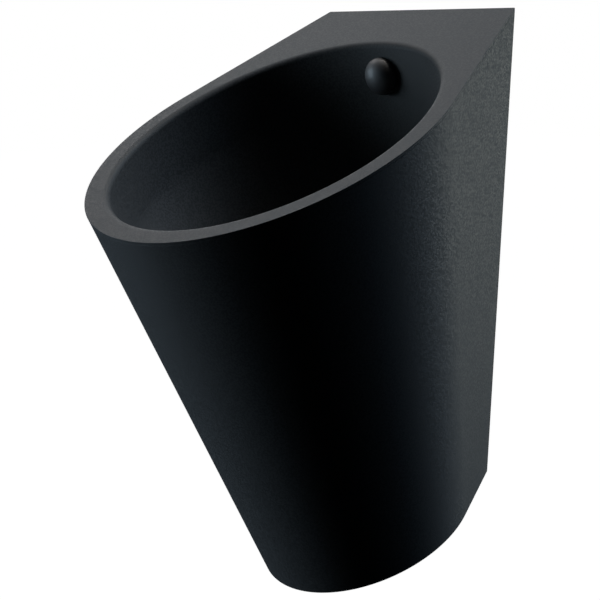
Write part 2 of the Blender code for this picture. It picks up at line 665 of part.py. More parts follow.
def build_supply():
    """The union that joins the inlet's tail to the supply pipe, which ends flush with the wall."""
    pipe, bore, collar, neck = 0.0070, 0.0055, 0.0100, 0.0074
    top, foot, seat = -0.0170, -0.0340, TAIL_END - 0.0050
    nut = as_mesh(hex_nut("supply_nut", 0.030, neck + GAP, top, foot, CHROME, INLET_FRAME))
    combine(nut, rod("supply_thread", TAIL_RADIUS + GAP, seat, 0.0, INLET_FRAME))
    seal_foot = TAIL_END - 0.0023
    ring("supply_seal", collar, 0.0060, TAIL_END - GAP, seal_foot, FIBRE, INLET_FRAME)

    past_wall = -0.060
    profile = [(collar, seal_foot - GAP), (collar, seat + GAP), (pipe, seat + GAP), (pipe, past_wall),
               (bore, past_wall), (bore, seal_foot - GAP)]
    supply = as_mesh(turned("supply_pipe", profile, CHROME, INLET_FRAME))
    half = 0.04
    wall = box("wall_side", (-half, 0.0, INLET_POINT.z - half), (half, 2 * half, INLET_POINT.z + half))
    combine(supply, wall)


# ---------------------------------------------------------------- waste
def build_waste():
    """The flanged waste through the bowl's floor, and what clamps it there."""
    flange_top, flange_foot, throat_foot = -0.0007, GAP - DRAIN_STEP, -0.0060
    profile = [(WASTE_FLANGE, flange_top), (WASTE_FLANGE, flange_foot), (WASTE_RADIUS, flange_foot),
               (WASTE_RADIUS, WASTE_END), (WASTE_BORE, WASTE_END), (WASTE_BORE, throat_foot),
               (WASTE_BORE + 0.004, flange_top)]
    turned("waste_body", profile, STAINLESS, DRAIN_FRAME)

    gasket, washer, nut = 0.0030, 0.0015, 0.0090
    bore = WASTE_RADIUS + 0.0004
    level = -DRAIN_STEP - SHEET - GAP
    ring("waste_gasket", 0.0360, bore, level, level - gasket, RUBBER, DRAIN_FRAME)
    level -= gasket + GAP
    ring("waste_washer", 0.0350, bore, level, level - washer, STAINLESS, DRAIN_FRAME)
    level -= washer + GAP
    hex_nut("waste_locknut", 0.060, WASTE_RADIUS + GAP, level, level - nut, BRASS, DRAIN_FRAME)


def strainer_height(radius):
    """Height of the strainer's domed top, in the drain's frame."""
    edge = -0.0004
    return edge + STRAINER_CROWN * (1 - (radius / STRAINER_RADIUS) ** 2)


def build_strainer():
    """A domed strainer that lifts out. Its skirt drops into the waste's bore."""
    edge, edge_rise, edge_width = strainer_height(STRAINER_RADIUS), 0.0004, 0.0015
    skirt_outer, skirt_inner, skirt_foot = WASTE_BORE - 0.0006, WASTE_BORE - 0.0018, -0.0100
    top = [(r, strainer_height(r)) for r in (0.0, 0.011, 0.018, 0.024, 0.029)]
    under = [(r, strainer_height(r) - STRAINER_SHEET) for r in (0.029, 0.024, skirt_outer)]
    inner = [(r, strainer_height(r) - STRAINER_SHEET) for r in (skirt_inner, 0.010, 0.0)]
    profile = [*top, (STRAINER_RADIUS, edge + edge_rise), (STRAINER_RADIUS, edge),
               (STRAINER_RADIUS - edge_width, edge), *under, (skirt_outer, skirt_foot),
               (skirt_inner, skirt_foot), *inner]
    strainer = as_mesh(turned("strainer", profile, BLACK_METAL, DRAIN_FRAME))
    bm = bmesh.new()
    for count, radius in ((1, 0.0), (6, 0.0075), (10, 0.0145), (14, 0.0262)):
        for spot in circle_points(radius, count):
            add_rod(bm, STRAINER_HOLE, -0.015, 0.015, 6, spot)
    combine(strainer, place(bmesh_object("strainer_holes", bm), None, DRAIN_FRAME))


# ---------------------------------------------------------------- trap
def build_trap_union():
    """The seal under the waste's end, and the round nut that pulls the trap's neck up to it."""
    seal_top = WASTE_END - GAP
    ring("trap_seal", TRAP_NECK - 0.0004, WASTE_BORE, seal_top, seal_top - TRAP_SEAL, RUBBER, DRAIN_FRAME)
    outer, top, foot = 0.0310, -0.0320, -0.0570
    bore, neck_bore, inner = WASTE_RADIUS + 0.0004, 0.0224, TRAP_NECK + 0.0004
    ledge = TRAP_NECK_FOOT - GAP
    profile = [(outer, top), (outer, foot), (neck_bore, foot), (neck_bore, ledge), (inner, ledge),
               (inner, WASTE_END + GAP), (bore, WASTE_END + 0.0010), (bore, top)]
    turned("trap_nut", profile, TRAP_PLASTIC, DRAIN_FRAME)


def build_trap_body():
    """A bottle trap's body: an inlet neck, a wide bottle with a thread below, and a branch to the wall."""
    neck_top = WASTE_END - GAP - TRAP_SEAL - GAP
    neck, shoulder_top, shoulder_foot, thread_top = 0.0220, -0.0600, -0.0660, -0.1040
    outside = [(0.0, neck_top), (TRAP_NECK, neck_top), (TRAP_NECK, TRAP_NECK_FOOT), (neck, TRAP_NECK_FOOT),
               (neck, shoulder_top), (TRAP_RADIUS, shoulder_foot), (TRAP_RADIUS, thread_top),
               (TRAP_THREAD, thread_top - 0.0005), (TRAP_THREAD, TRAP_BOTTOM), (0.0, TRAP_BOTTOM)]
    socket, socket_foot, throat, past = 0.0190, -0.0560, DIP_RADIUS + 0.0007, 0.010
    bottle = TRAP_RADIUS - TRAP_WALL
    mouth = TRAP_THREAD - TRAP_WALL
    inside = [(0.0, neck_top + past), (socket, neck_top + past), (socket, socket_foot), (throat, socket_foot),
              (throat, shoulder_top - 0.0025), (bottle, shoulder_foot - TRAP_WALL), (bottle, thread_top),
              (mouth, thread_top - 0.002), (mouth, TRAP_BOTTOM - past), (0.0, TRAP_BOTTOM - past)]
    body = as_mesh(turned("trap_body", outside, TRAP_PLASTIC, DRAIN_FRAME))
    combine(body, branch_rod("trap_branch", BRANCH_RADIUS, 0.0, BRANCH_END), "UNION")
    combine(body, turned("trap_cavity", inside, None, DRAIN_FRAME))
    combine(body, branch_rod("branch_bore", BRANCH_BORE, 0.0, BRANCH_END + past))
    combine(body, branch_rod("branch_socket", PIPE_RADIUS + 0.0006, BRANCH_SOCKET, BRANCH_END + past))


def branch_rod(name, radius, low, high):
    return rod(name, radius, low, high, DRAIN_FRAME, (0.0, 0.0, BRANCH_DROP), TOWARDS_WALL)


def build_dip_tube():
    """The tube that hangs in the neck's socket by its rim and ends under the water in the cup."""
    rim, top, rim_foot, bore = 0.0186, -0.0545, -0.0557, DIP_RADIUS - 0.0015
    profile = [(rim, top), (rim, rim_foot), (DIP_RADIUS, rim_foot), (DIP_RADIUS, DIP_END), (bore, DIP_END),
               (bore, top)]
    turned("trap_dip_tube", profile, TRAP_PLASTIC, DRAIN_FRAME)


def build_trap_cup():
    """The cup unscrews from the bottle for cleaning, and its seal sits on the ledge inside it."""
    seal_top = TRAP_BOTTOM - GAP
    ledge = seal_top - TRAP_SEAL - GAP
    inner, thread = 0.0274, TRAP_THREAD + GAP
    ring("trap_cup_seal", TRAP_THREAD, inner, seal_top, seal_top - TRAP_SEAL, RUBBER, DRAIN_FRAME)
    skirt_foot, bowl_top, bowl_foot, base = -0.1280, -0.1320, CUP_BOTTOM + 0.006, 0.0250
    inside = [(0.0, CUP_BOTTOM + CUP_WALL), (base - 0.001, CUP_BOTTOM + CUP_WALL),
              (inner, bowl_foot + 0.001), (inner, ledge), (thread, ledge), (thread, CUP_TOP)]
    outside = [(CUP_RADIUS, CUP_TOP), (CUP_RADIUS, skirt_foot), (0.0325, bowl_top), (0.0300, bowl_foot),
               (base, CUP_BOTTOM), (0.0, CUP_BOTTOM)]
    cup = as_mesh(turned("trap_cup", inside + outside, TRAP_PLASTIC, DRAIN_FRAME))
    bm = bmesh.new()
    for spot in circle_points(CUP_RADIUS + 0.0006, GRIP_COUNT):
        add_rod(bm, GRIP_RADIUS, bowl_top, CUP_TOP + 0.010, 8, spot)
    combine(cup, place(bmesh_object("cup_grips", bm), None, DRAIN_FRAME))


def build_outlet():
    """The pipe from the trap's branch to the wall, with its union and the collar against the wall."""
    wall = -DRAIN.y

    def on_branch(name, profile, material):
        # Heights run towards the wall, so a profile starts at its wall end.
        turned(name, profile, material, DRAIN_FRAME, (0.0, 0.0, BRANCH_DROP), TOWARDS_WALL)

    def branch_ring(name, outer, inner, near, far, material):
        on_branch(name, [(outer, far), (outer, near), (inner, near), (inner, far)], material)

    seal_end = BRANCH_END + 0.0045
    branch_ring("outlet_seal", BRANCH_RADIUS, PIPE_RADIUS + GAP, BRANCH_END + GAP, seal_end, RUBBER)
    branch_ring("outlet_pipe", PIPE_RADIUS, PIPE_BORE, BRANCH_SOCKET + 0.001, wall, TRAP_PLASTIC)

    outer, near, far = 0.0260, BRANCH_END - 0.0120, BRANCH_END + 0.0095
    lip = seal_end + GAP
    thread, bore = BRANCH_RADIUS + 0.0004, PIPE_RADIUS + 0.0004
    profile = [(outer, far), (outer, near), (thread, near), (thread, lip), (bore, lip), (bore, far)]
    on_branch("outlet_nut", profile, TRAP_PLASTIC)

    flange, fillet, sleeve, length, bore = 0.003, 0.004, 0.0185, 0.012, PIPE_RADIUS + GAP
    profile = [(COLLAR_RADIUS, wall), (COLLAR_RADIUS, wall - flange), (0.0200, wall - fillet),
               (sleeve, wall - length), (bore, wall - length), (bore, wall)]
    on_branch("outlet_collar", profile, RUBBER)


build_outer_skin()
build_rim_deck()
build_bowl()
build_bottom_flange()
build_service_cover()
for SIDE, WORD in SIDES:
    build_hinge(SIDE, WORD)
    build_cover_screw(SIDE, WORD)
build_hanger()
build_lower_fixing()
build_spreader()
build_inlet()
build_supply()
build_waste()
build_strainer()
build_trap_union()
build_trap_body()
build_dip_tube()
build_trap_cup()
build_outlet()
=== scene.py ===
"""A matt black wall-hung urinal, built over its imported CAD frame, and the studio it is lit in.

Lengths are in metres. The wall is y = 0, the object stands out from it towards -y, and +Z is up. The body is
set out from its sloping rim: "along" runs down the rim from its back edge, and "deep" runs into the body at
right angles to it. The inlet, the drain and the outlet each have an axis of their own.
"""

import json
import math

import bmesh
import bpy
from mathutils import Matrix, Vector


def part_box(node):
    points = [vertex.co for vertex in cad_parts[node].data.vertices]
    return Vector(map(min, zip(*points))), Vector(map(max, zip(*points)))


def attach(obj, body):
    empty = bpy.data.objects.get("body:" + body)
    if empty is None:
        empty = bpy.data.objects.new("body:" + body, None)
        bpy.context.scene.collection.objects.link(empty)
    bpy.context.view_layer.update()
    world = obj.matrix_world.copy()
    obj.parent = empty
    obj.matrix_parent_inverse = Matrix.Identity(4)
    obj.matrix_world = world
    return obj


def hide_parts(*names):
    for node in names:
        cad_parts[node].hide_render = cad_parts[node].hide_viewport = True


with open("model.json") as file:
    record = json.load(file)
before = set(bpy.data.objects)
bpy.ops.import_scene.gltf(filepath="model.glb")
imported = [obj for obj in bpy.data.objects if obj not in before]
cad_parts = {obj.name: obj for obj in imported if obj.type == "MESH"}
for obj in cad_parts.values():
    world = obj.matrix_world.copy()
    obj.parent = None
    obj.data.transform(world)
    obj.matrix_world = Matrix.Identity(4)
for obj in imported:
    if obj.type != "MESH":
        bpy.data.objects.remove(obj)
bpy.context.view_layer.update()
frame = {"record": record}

# ---- body, as the CAD has it
RIM_TILT = math.radians(28.0)
RIM_RADIUS = 0.180
RIM_CENTRE = 0.222
SIDE_ANGLE = math.radians(108.0)
BODY_TAPER = 0.20
BODY_LENGTH = 0.382
SHEET = 0.0015
GAP = 0.0003
BACK_TOP = 0.150
SKIN_START = 0.0027
RETURN_WIDTH = 0.020

BOWL_RADIUS = 0.157
BOWL_TAPER = 0.13
LIP_RADIUS = 0.006
LIP_EDGE = 0.164
WALL_START = 0.012
WALL_DEPTH = 0.050
FLOOR_FALL = math.radians(12.0)
WALL_REACH = 0.10
FLOOR_REACH = 0.26
DRAIN_RADIUS = 0.043
DRAIN_STEP = 0.003
SEAT_RADIUS = 0.040
DRAIN_HOLE = 0.0245

EDGE_ROUND = 0.0004  # outer edge of the rim
FOLD_ROUND = 0.0016  # where the sides fold round to the wall
CUT_ROUND = 0.00035  # broken edge of cut sheet

WASTE_LOW, WASTE_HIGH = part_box("waste_body")
DRAIN = Vector(((WASTE_LOW.x + WASTE_HIGH.x) / 2, (WASTE_LOW.y + WASTE_HIGH.y) / 2, WASTE_HIGH.z + 0.0007))

INSIDE = DRAIN + Vector((0.0, 0.0, 0.10))  # a point in the bowl's hollow

CRISP_ANGLE = math.radians(32.0)
STRAIGHT = math.radians(178.0)
ON_AXIS = 1e-7  # a smaller radius is a point on the axis
THROUGH = 0.02  # half length of a bar that cuts right through
ROUND_STEPS = 96
ARC_STEPS = 132
BOWL_STEPS = 160
FOLD_STEPS = 5
SIDE_STEPS = 10
EDGE_STEPS = 5
SKIN_LEVELS = 14
LIP_STEPS = 8
WALL_STEPS = 4
FLOOR_STEPS = 30


def rim_point(across, along, deep):
    out = along * math.cos(RIM_TILT) - deep * math.sin(RIM_TILT)
    drop = along * math.sin(RIM_TILT) + deep * math.cos(RIM_TILT)
    return Vector((across, -out, BACK_TOP - drop))


def tilted(point, angle):
    """An upright axis through a point, tilted about x."""
    return Matrix.Translation(point) @ Matrix.Rotation(angle, 4, "X")


INLET_DEPTH = 0.0297
INLET_DIP = RIM_TILT - math.atan(2 * BOWL_TAPER)
INLET_POINT = rim_point(0.0, RIM_CENTRE - BOWL_RADIUS + 2 * BOWL_TAPER * INLET_DEPTH, INLET_DEPTH)
INLET_AXIS = tilted(INLET_POINT, math.pi / 2 + INLET_DIP)
DRAIN_AXIS = Matrix.Translation(DRAIN)
BRANCH_DROP = -0.082
INLET_HOLE = 0.0109
SIDES = ((-1, "left"), (1, "right"))
BRANCH_AXIS = tilted(DRAIN + Vector((0, 0, BRANCH_DROP)), -math.pi / 2)


# ---- materials
COAT_DARK = (0.0258, 0.0268, 0.0273)
COAT_LIGHT = (0.0392, 0.0406, 0.0413)
COAT_MIDDLE = (0.0322, 0.0335, 0.0342)
GRAIN_PER_METRE = 560.0
POWDER_PER_METRE = 2400.0
PEEL_PER_METRE = 150.0
PATCHES_PER_METRE = 14.0


def set_inputs(node, inputs):
    """Each input takes a number, a colour, or another node's output."""
    for key, value in inputs.items():
        if isinstance(value, bpy.types.NodeSocket):
            node.id_data.links.new(value, node.inputs[key])
        else:
            node.inputs[key].default_value = value


def add_node(tree, kind, inputs, **settings):
    node = tree.nodes.new(kind)
    for key, value in settings.items():
        setattr(node, key, value)
    set_inputs(node, inputs)
    return node


class Nodes:
    """A material's node tree, with short ways to add the nodes that these materials share."""

    def __init__(self, name):
        self.material = bpy.data.materials.new(name)
        self.material.use_nodes = True
        self.tree = self.material.node_tree
        self.where = self.add("ShaderNodeTexCoord", {}).outputs["Object"]

    def add(self, kind, inputs, **settings):
        return add_node(self.tree, kind, inputs, **settings)

    def noise(self, scale, detail=2.0, rough=0.5, stretch=None):
        where = self.where
        if stretch:
            where = self.add("ShaderNodeMapping", {"Vector": where, "Scale": stretch}).outputs["Vector"]
        inputs = {"Vector": where, "Scale": scale, "Detail": detail, "Roughness": rough}
        return self.add("ShaderNodeTexNoise", inputs).outputs["Fac"]

    def ramp(self, value, low, high, start=0.3, end=0.7):
        """Maps the noise's middle range onto low..high, which are numbers or colours."""
        if isinstance(low, tuple):
            node = self.add("ShaderNodeValToRGB", {"Fac": value})
            first, last = node.color_ramp.elements
            first.position, last.position = start, end
            first.color, last.color = (*low, 1.0), (*high, 1.0)
            return node.outputs["Color"]
        inputs = {"Value": value, "From Min": start, "From Max": end, "To Min": low, "To Max": high}
        return self.add("ShaderNodeMapRange", inputs).outputs["Result"]

    def bump(self, height, distance, strength, after=None):
        inputs = {"Height": height, "Distance": distance, "Strength": strength}
        if after is not None:
            inputs["Normal"] = after
        return self.add("ShaderNodeBump", inputs).outputs["Normal"]

    def mix(self, factor, a, b):
        return self.add("ShaderNodeMix", {0: factor, 6: a, 7: b}, data_type="RGBA").outputs[2]

    def finish(self, colour=None, roughness=None, normal=None, **fixed):
        """Fills in the shader's inputs, and gives the finished material."""
        inputs = {"Base Color": colour, "Roughness": roughness, "Normal": normal}
        inputs = {key: value for key, value in inputs.items() if value is not None}
        inputs |= {key.replace("_", " "): value for key, value in fixed.items()}
        set_inputs(self.tree.nodes["Principled BSDF"], inputs)
        return self.material


def black_coat():
    """Matt powder coat: a grain of about 2 mm in tone, gloss and height, over a very faint orange peel."""
    n = Nodes("black_coat")
    grain = n.noise(GRAIN_PER_METRE, 1.0)
    powder = n.noise(POWDER_PER_METRE, 2.0, 0.7)
    peel = n.noise(PEEL_PER_METRE, 2.0)
    patches = n.noise(PATCHES_PER_METRE, 3.0)
    colour = n.mix(n.ramp(grain, 0.0, 1.0, 0.43, 0.57), (*COAT_DARK, 1.0), (*COAT_LIGHT, 1.0))
    colour = n.mix(n.ramp(patches, 0.0, 0.15), colour, (*COAT_MIDDLE, 1.0))
    roughness = n.ramp(grain, 0.525, 0.755, 0.42, 0.58)
    normal = n.bump(peel, 0.00003, 0.2)
    normal = n.bump(grain, 0.00008, 0.4, normal)
    normal = n.bump(powder, 0.00003, 0.4, normal)
    return n.finish(colour, roughness, normal, Specular_IOR_Level=0.11)


def satin_black():
    n = Nodes("satin_black")
    fine = n.noise(1800.0, 2.0)
    broad = n.noise(60.0, 3.0)
    colour = n.ramp(broad, (0.0180, 0.0182, 0.0190), (0.0260, 0.0262, 0.0270))
    return n.finish(colour, n.ramp(fine, 0.52, 0.60), n.bump(fine, 0.00002, 0.3), Specular_IOR_Level=0.6,
                    Coat_Weight=0.05, Coat_Roughness=0.12)


def stainless_sheet():
    """Mill finish with the long fine lines of rolled sheet, along x."""
    n = Nodes("stainless_sheet")
    lines = n.noise(1.0, 4.0, 0.7, (18.0, 1500.0, 1500.0))
    cloud = n.noise(22.0, 4.0)
    colour = n.mix(n.ramp(cloud, 0.0, 1.0), (0.47, 0.47, 0.465, 1.0), (0.58, 0.58, 0.57, 1.0))
    roughness = n.ramp(lines, 0.26, 0.42)
    return n.finish(colour, roughness, n.bump(lines, 0.00003, 0.4), Metallic=1.0)


def brass():
    """Machined brass: fine turning marks, faint tarnish in patches."""
    n = Nodes("brass")
    marks = n.noise(1.0, 3.0, 0.6, (900.0, 900.0, 3200.0))
    cloud = n.noise(90.0, 4.0, 0.6)
    colour = n.ramp(cloud, (0.56, 0.37, 0.13), (0.74, 0.54, 0.24), 0.25, 0.75)
    return n.finish(colour, n.ramp(marks, 0.22, 0.36), n.bump(marks, 0.00002, 0.35), Metallic=1.0)


def zinc_plate():
    n = Nodes("zinc_plate")
    spangle = n.add("ShaderNodeTexVoronoi", {"Vector": n.where, "Scale": 260.0}, feature="F1")
    cloud = n.noise(45.0, 4.0)
    scratches = n.noise(1.0, 3.0, 0.7, (1400.0, 60.0, 60.0))
    tint = n.ramp(spangle.outputs["Distance"], (0.43, 0.45, 0.47), (0.54, 0.55, 0.56), 0.0, 1.0)
    colour = n.mix(n.ramp(cloud, 0.0, 0.5), tint, (0.50, 0.48, 0.43, 1.0))
    return n.finish(colour, n.ramp(scratches, 0.34, 0.48), n.bump(scratches, 0.00002, 0.3), Metallic=1.0)


def chrome():
    n = Nodes("chrome")
    smears = n.noise(70.0, 4.0)
    colour = n.ramp(smears, (0.70, 0.71, 0.73), (0.78, 0.79, 0.80))
    return n.finish(colour, n.ramp(smears, 0.07, 0.16), Metallic=1.0)


def rubber():
    n = Nodes("rubber")
    bloom = n.noise(120.0, 4.0)
    skin = n.noise(1500.0, 2.0)
    colour = n.ramp(bloom, (0.016, 0.016, 0.017), (0.030, 0.030, 0.030))
    return n.finish(colour, n.ramp(bloom, 0.66, 0.84), n.bump(skin, 0.00004, 0.4))


def fibre():
    n = Nodes("fibre")
    strands = n.noise(1.0, 4.0, 0.7, (2400.0, 700.0, 700.0))
    colour = n.ramp(strands, (0.30, 0.055, 0.035), (0.50, 0.13, 0.08))
    return n.finish(colour, n.ramp(strands, 0.70, 0.86), n.bump(strands, 0.00004, 0.5))


def white_plastic():
    """Moulded polypropylene: slightly waxy and translucent, with a fine spark-eroded skin."""
    n = Nodes("white_plastic")
    cloud = n.noise(30.0, 3.0)
    skin = n.noise(1400.0, 2.0)
    colour = n.ramp(cloud, (0.74, 0.74, 0.71), (0.82, 0.82, 0.80))
    return n.finish(colour, n.ramp(skin, 0.34, 0.44), n.bump(skin, 0.00003, 0.3), Subsurface_Weight=0.15,
                    Subsurface_Radius=(0.004, 0.004, 0.0035), Subsurface_Scale=0.5)


MATERIALS = {"black_coat": black_coat(), "black_metal": satin_black(), "stainless": stainless_sheet(),
             "brass": brass(), "zinc_plate": zinc_plate(), "chrome": chrome(), "rubber": rubber(),
             "fibre": fibre(), "trap_plastic": white_plastic()}
SLOTS = {row["node"]: row["material_slot"] for row in frame["record"]["subparts"]}
BODIES = {node: body for body, nodes in frame["record"]["behaviour"]["bodies"].items() for node in nodes}


# ---- shaping tools
def rounded(points, radii, steps=6, closed=True):
    """Rounds the corners of a 2D outline. radii gives one radius for all corners, or one for each."""
    count = len(points)
    if not isinstance(radii, (list, tuple)):
        radii = [radii] * count
    out = []
    for i, (point, radius) in enumerate(zip(points, radii)):
        p = Vector(point)
        a, b = Vector(points[i - 1]) - p, Vector(points[(i + 1) % count]) - p
        stays = radius <= 0 or (not closed and i in (0, count - 1)) or min(a.length, b.length) < 1e-9
        if stays or a.angle(b) > STRAIGHT:
            out.append(tuple(p))
            continue
        half = a.angle(b) / 2
        cut_back = min(radius / math.tan(half), 0.45 * a.length, 0.45 * b.length)
        radius = cut_back * math.tan(half)
        a.normalize()
        b.normalize()
        centre = p + (a + b).normalized() * (radius / math.sin(half))
        start, end = p + a * cut_back - centre, p + b * cut_back - centre
        sweep = math.atan2(start.x * end.y - start.y * end.x, start.dot(end))
        for k in range(steps + 1):
            out.append(tuple(centre + Matrix.Rotation(sweep * k / steps, 2) @ start))
    return out


def in_scene(name, data):
    """A new object in the scene. Its data is a camera, a light, or a bmesh that becomes its mesh."""
    if isinstance(data, bmesh.types.BMesh):
        bm, data = data, bpy.data.meshes.new(name)
        bm.to_mesh(data)
        bm.free()
    thing = bpy.data.objects.new(name, data)
    bpy.context.scene.collection.objects.link(thing)
    return thing


def new_piece(bm, node, weighted=True):
    """The fine piece that stands for a CAD node: it takes the node's body, slot and finish from the frame."""
    bmesh.ops.recalc_face_normals(bm, faces=bm.faces)
    piece = in_scene(f"fine_{node}", bm)
    piece.data.materials.append(MATERIALS[SLOTS[node]])
    soften(piece.data)
    if weighted:
        add_weighted_normals(piece)
    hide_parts(node)
    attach(piece, BODIES[node])
    return piece


def soften(mesh):
    """Smooth shading, with the sharp corners and the open edges left crisp."""
    mesh.shade_smooth()
    mesh.set_sharp_from_angle(angle=CRISP_ANGLE)
    sides = {}
    for polygon in mesh.polygons:
        for key in polygon.edge_keys:
            sides[key] = sides.get(key, 0) + 1
    for edge in mesh.edges:
        if sides.get(edge.key) == 1:
            edge.use_edge_sharp = True


def add_weighted_normals(piece):
    modifier = piece.modifiers.new("WeightedNormal", "WEIGHTED_NORMAL")
    modifier.keep_sharp = True
    modifier.weight = 60


def add_bevel(piece, width, angle=math.radians(40.0)):
    """Breaks the sharp edges. The Bevel goes under the piece's weighted normals."""
    bevel = piece.modifiers.new("Bevel", "BEVEL")
    bevel.width = width
    bevel.segments = 2
    bevel.limit_method = "ANGLE"
    bevel.angle_limit = angle
    normals = piece.modifiers.find("WeightedNormal")
    if normals >= 0:
        piece.modifiers.move(len(piece.modifiers) - 1, normals)


def thicken(piece, sheet, middle, grows_in):
    """Gives a surface its sheet, which grows towards the middle of the object or away from it."""
    face = piece.data.polygons[len(piece.data.polygons) // 3]
    faces_in = (middle - face.center).dot(face.normal) > 0
    solidify = piece.modifiers.new("Solidify", "SOLIDIFY")
    solidify.thickness = sheet
    solidify.offset = 1.0 if faces_in == grows_in else -1.0


def apply_modifiers(piece):
    with bpy.context.temp_override(object=piece, active_object=piece):
        for modifier in list(piece.modifiers):
            bpy.ops.object.modifier_apply(modifier=modifier.name)


def cut(piece, bm, operation="DIFFERENCE"):
    """Cuts a mesh from a piece, or joins it on, and throws the tool away."""
    bmesh.ops.recalc_face_normals(bm, faces=bm.faces)
    tool = in_scene("tool", bm)
    boolean = piece.modifiers.new("Cut", "BOOLEAN")
    boolean.operation = operation
    boolean.object = tool
    piece.modifiers.move(len(piece.modifiers) - 1, 0)
    with bpy.context.temp_override(object=piece, active_object=piece):
        bpy.ops.object.modifier_apply(modifier=boolean.name)
    bpy.data.meshes.remove(tool.data)  # the tool itself goes with its mesh
    soften(piece.data)


def loop_faces(bm, rows, closed_around=False):
    """Joins rows of vertices with quads."""
    count = len(rows[0])
    for a, b in zip(rows, rows[1:]):
        for i in range(count if closed_around else count - 1):
            j = (i + 1) % count
            bm.faces.new((a[i], b[i], b[j], a[j]))


def spin(bm, profile, axis, steps=ROUND_STEPS, ripple=None):
    """Turns a closed profile of (radius, height) points about the axis's z. Points on the axis become one."""
    rings = []
    for radius, height in profile:
        if radius < ON_AXIS:
            rings.append([bm.verts.new(axis @ Vector((0.0, 0.0, height)))])
            continue
        ring_verts = []
        for k in range(steps):
            angle = 2 * math.pi * k / steps
            r = ripple(radius, height, angle) if ripple else radius
            ring_verts.append(bm.verts.new(axis @ Vector((r * math.cos(angle), r * math.sin(angle), height))))
        rings.append(ring_verts)
    for a, b in zip(rings, rings[1:] + rings[:1]):
        if len(a) == len(b) == 1:
            continue
        for k in range(steps):
            following = (k + 1) % steps
            corners = (a[k % len(a)], b[k % len(b)], b[following % len(b)], a[following % len(a)])
            bm.faces.new(list(dict.fromkeys(corners)))


def spun(profile, axis, steps=ROUND_STEPS, ripple=None):
    bm = bmesh.new()
    spin(bm, profile, axis, steps, ripple)
    return bm


def rod(radius, low, high, axis, steps):
    """A plain round bar along the axis, to cut or join with."""
    return spun([(0.0, low), (radius, low), (radius, high), (0.0, high)], axis, steps)


def quarter(steps):
    """Angles from 0 to 90 degrees."""
    return [math.pi / 2 * i / steps for i in range(steps + 1)]


def turned(node, profile, axis, round_by, steps=ROUND_STEPS, ripple=None, corner_steps=4):
    """A turned piece. round_by gives one radius for all its corners off the axis, or a list of them."""
    if not isinstance(round_by, list):
        round_by = [0.0 if radius < ON_AXIS else round_by for radius, _ in profile]
    return new_piece(spun(rounded(profile, round_by, corner_steps), axis, steps, ripple), node)


def ring(node, outer, inner, top, bottom, axis, round_by):
    return turned(node, [(outer, top), (outer, bottom), (inner, bottom), (inner, top)], axis, round_by)


def stacked(rings, bore, level, axis):
    """Rings one under another, a gap apart. Gives the level that the next piece starts at."""
    for node, outer, thick, round_by in rings:
        ring(node, outer, bore, level, level - thick, axis, round_by)
        level -= thick + GAP
    return level


def thread(radius, depth, pitch, low, high, rows=8):
    """Profile points up a thread, and the ripple that makes them one helical groove, fading at its ends."""
    count = max(2, round((high - low) / pitch * rows))
    marks = [(radius, low + (high - low) * i / count) for i in range(count + 1)]

    def ripple(r, height, angle):
        if abs(r - radius) > 1e-7 or not low <= height <= high:
            return r
        fade = min(1.0, (height - low) / pitch, (high - height) / pitch)
        phase = (height / pitch - angle / (2 * math.pi)) % 1.0
        groove = min(1.0, max(0.0, 1.7 * (1.0 - abs(2.0 * phase - 1.0)) - 0.35))
        return r - depth * fade * groove

    return marks, ripple


def ribs(count, depth, radius, top, foot, sharpness=2):
    """Finger grips round a moulded nut: shallow flutes that run out near both its ends."""
    skin, margin, run_out = 0.0006, 0.0010, 0.0020

    def ripple(r, height, angle):
        if r < radius - skin:
            return r
        near_end = min(abs(height - top), abs(height - foot))
        fade = min(1.0, max(0.0, (near_end - margin) / run_out))
        flute = (0.5 - 0.5 * math.cos(count * angle)) ** sharpness
        return r - depth * fade * flute

    return ripple


def hex_nut(node, across_flats, bore, bottom, top, axis, counterbore=None):
    """A hexagon nut with both faces chamfered to a circle. A counterbore is its (radius, floor)."""
    flat = across_flats / 2
    corner = flat / math.cos(math.pi / 6)
    face = 0.98 * flat  # radius of the chamfer's inner edge
    slope = math.tan(math.radians(60.0))
    chamfer = (corner - face) / slope
    depths = [chamfer * i / 5 for i in range(6)]
    outer = [(corner, bottom + d) for d in depths] + [(corner, top - d) for d in reversed(depths)]

    def ripple(r, height, angle):
        if r < corner:
            return r
        hexagon = flat / math.cos(angle % (math.pi / 3) - math.pi / 6)
        return min(hexagon, face + min(height - bottom, top - height) * slope)

    lead = 0.04 * bore + 0.0002
    wide, floor = counterbore or (bore, bottom)
    inner = [(wide + lead, top), (wide, top - lead)]
    if counterbore:
        inner += [(wide, floor), (bore, floor)]
    inner += [(bore, bottom + lead), (bore + lead, bottom)]
    return new_piece(spun(outer + inner, axis, 96, ripple), node)


def box_mesh(low, high, axes):
    bm = bmesh.new()
    size = Vector(high) - Vector(low)
    place = axes @ Matrix.Translation((Vector(low) + Vector(high)) / 2) @ Matrix.Diagonal((*size, 1.0))
    bmesh.ops.create_cube(bm, size=1.0, matrix=place)
    return bm


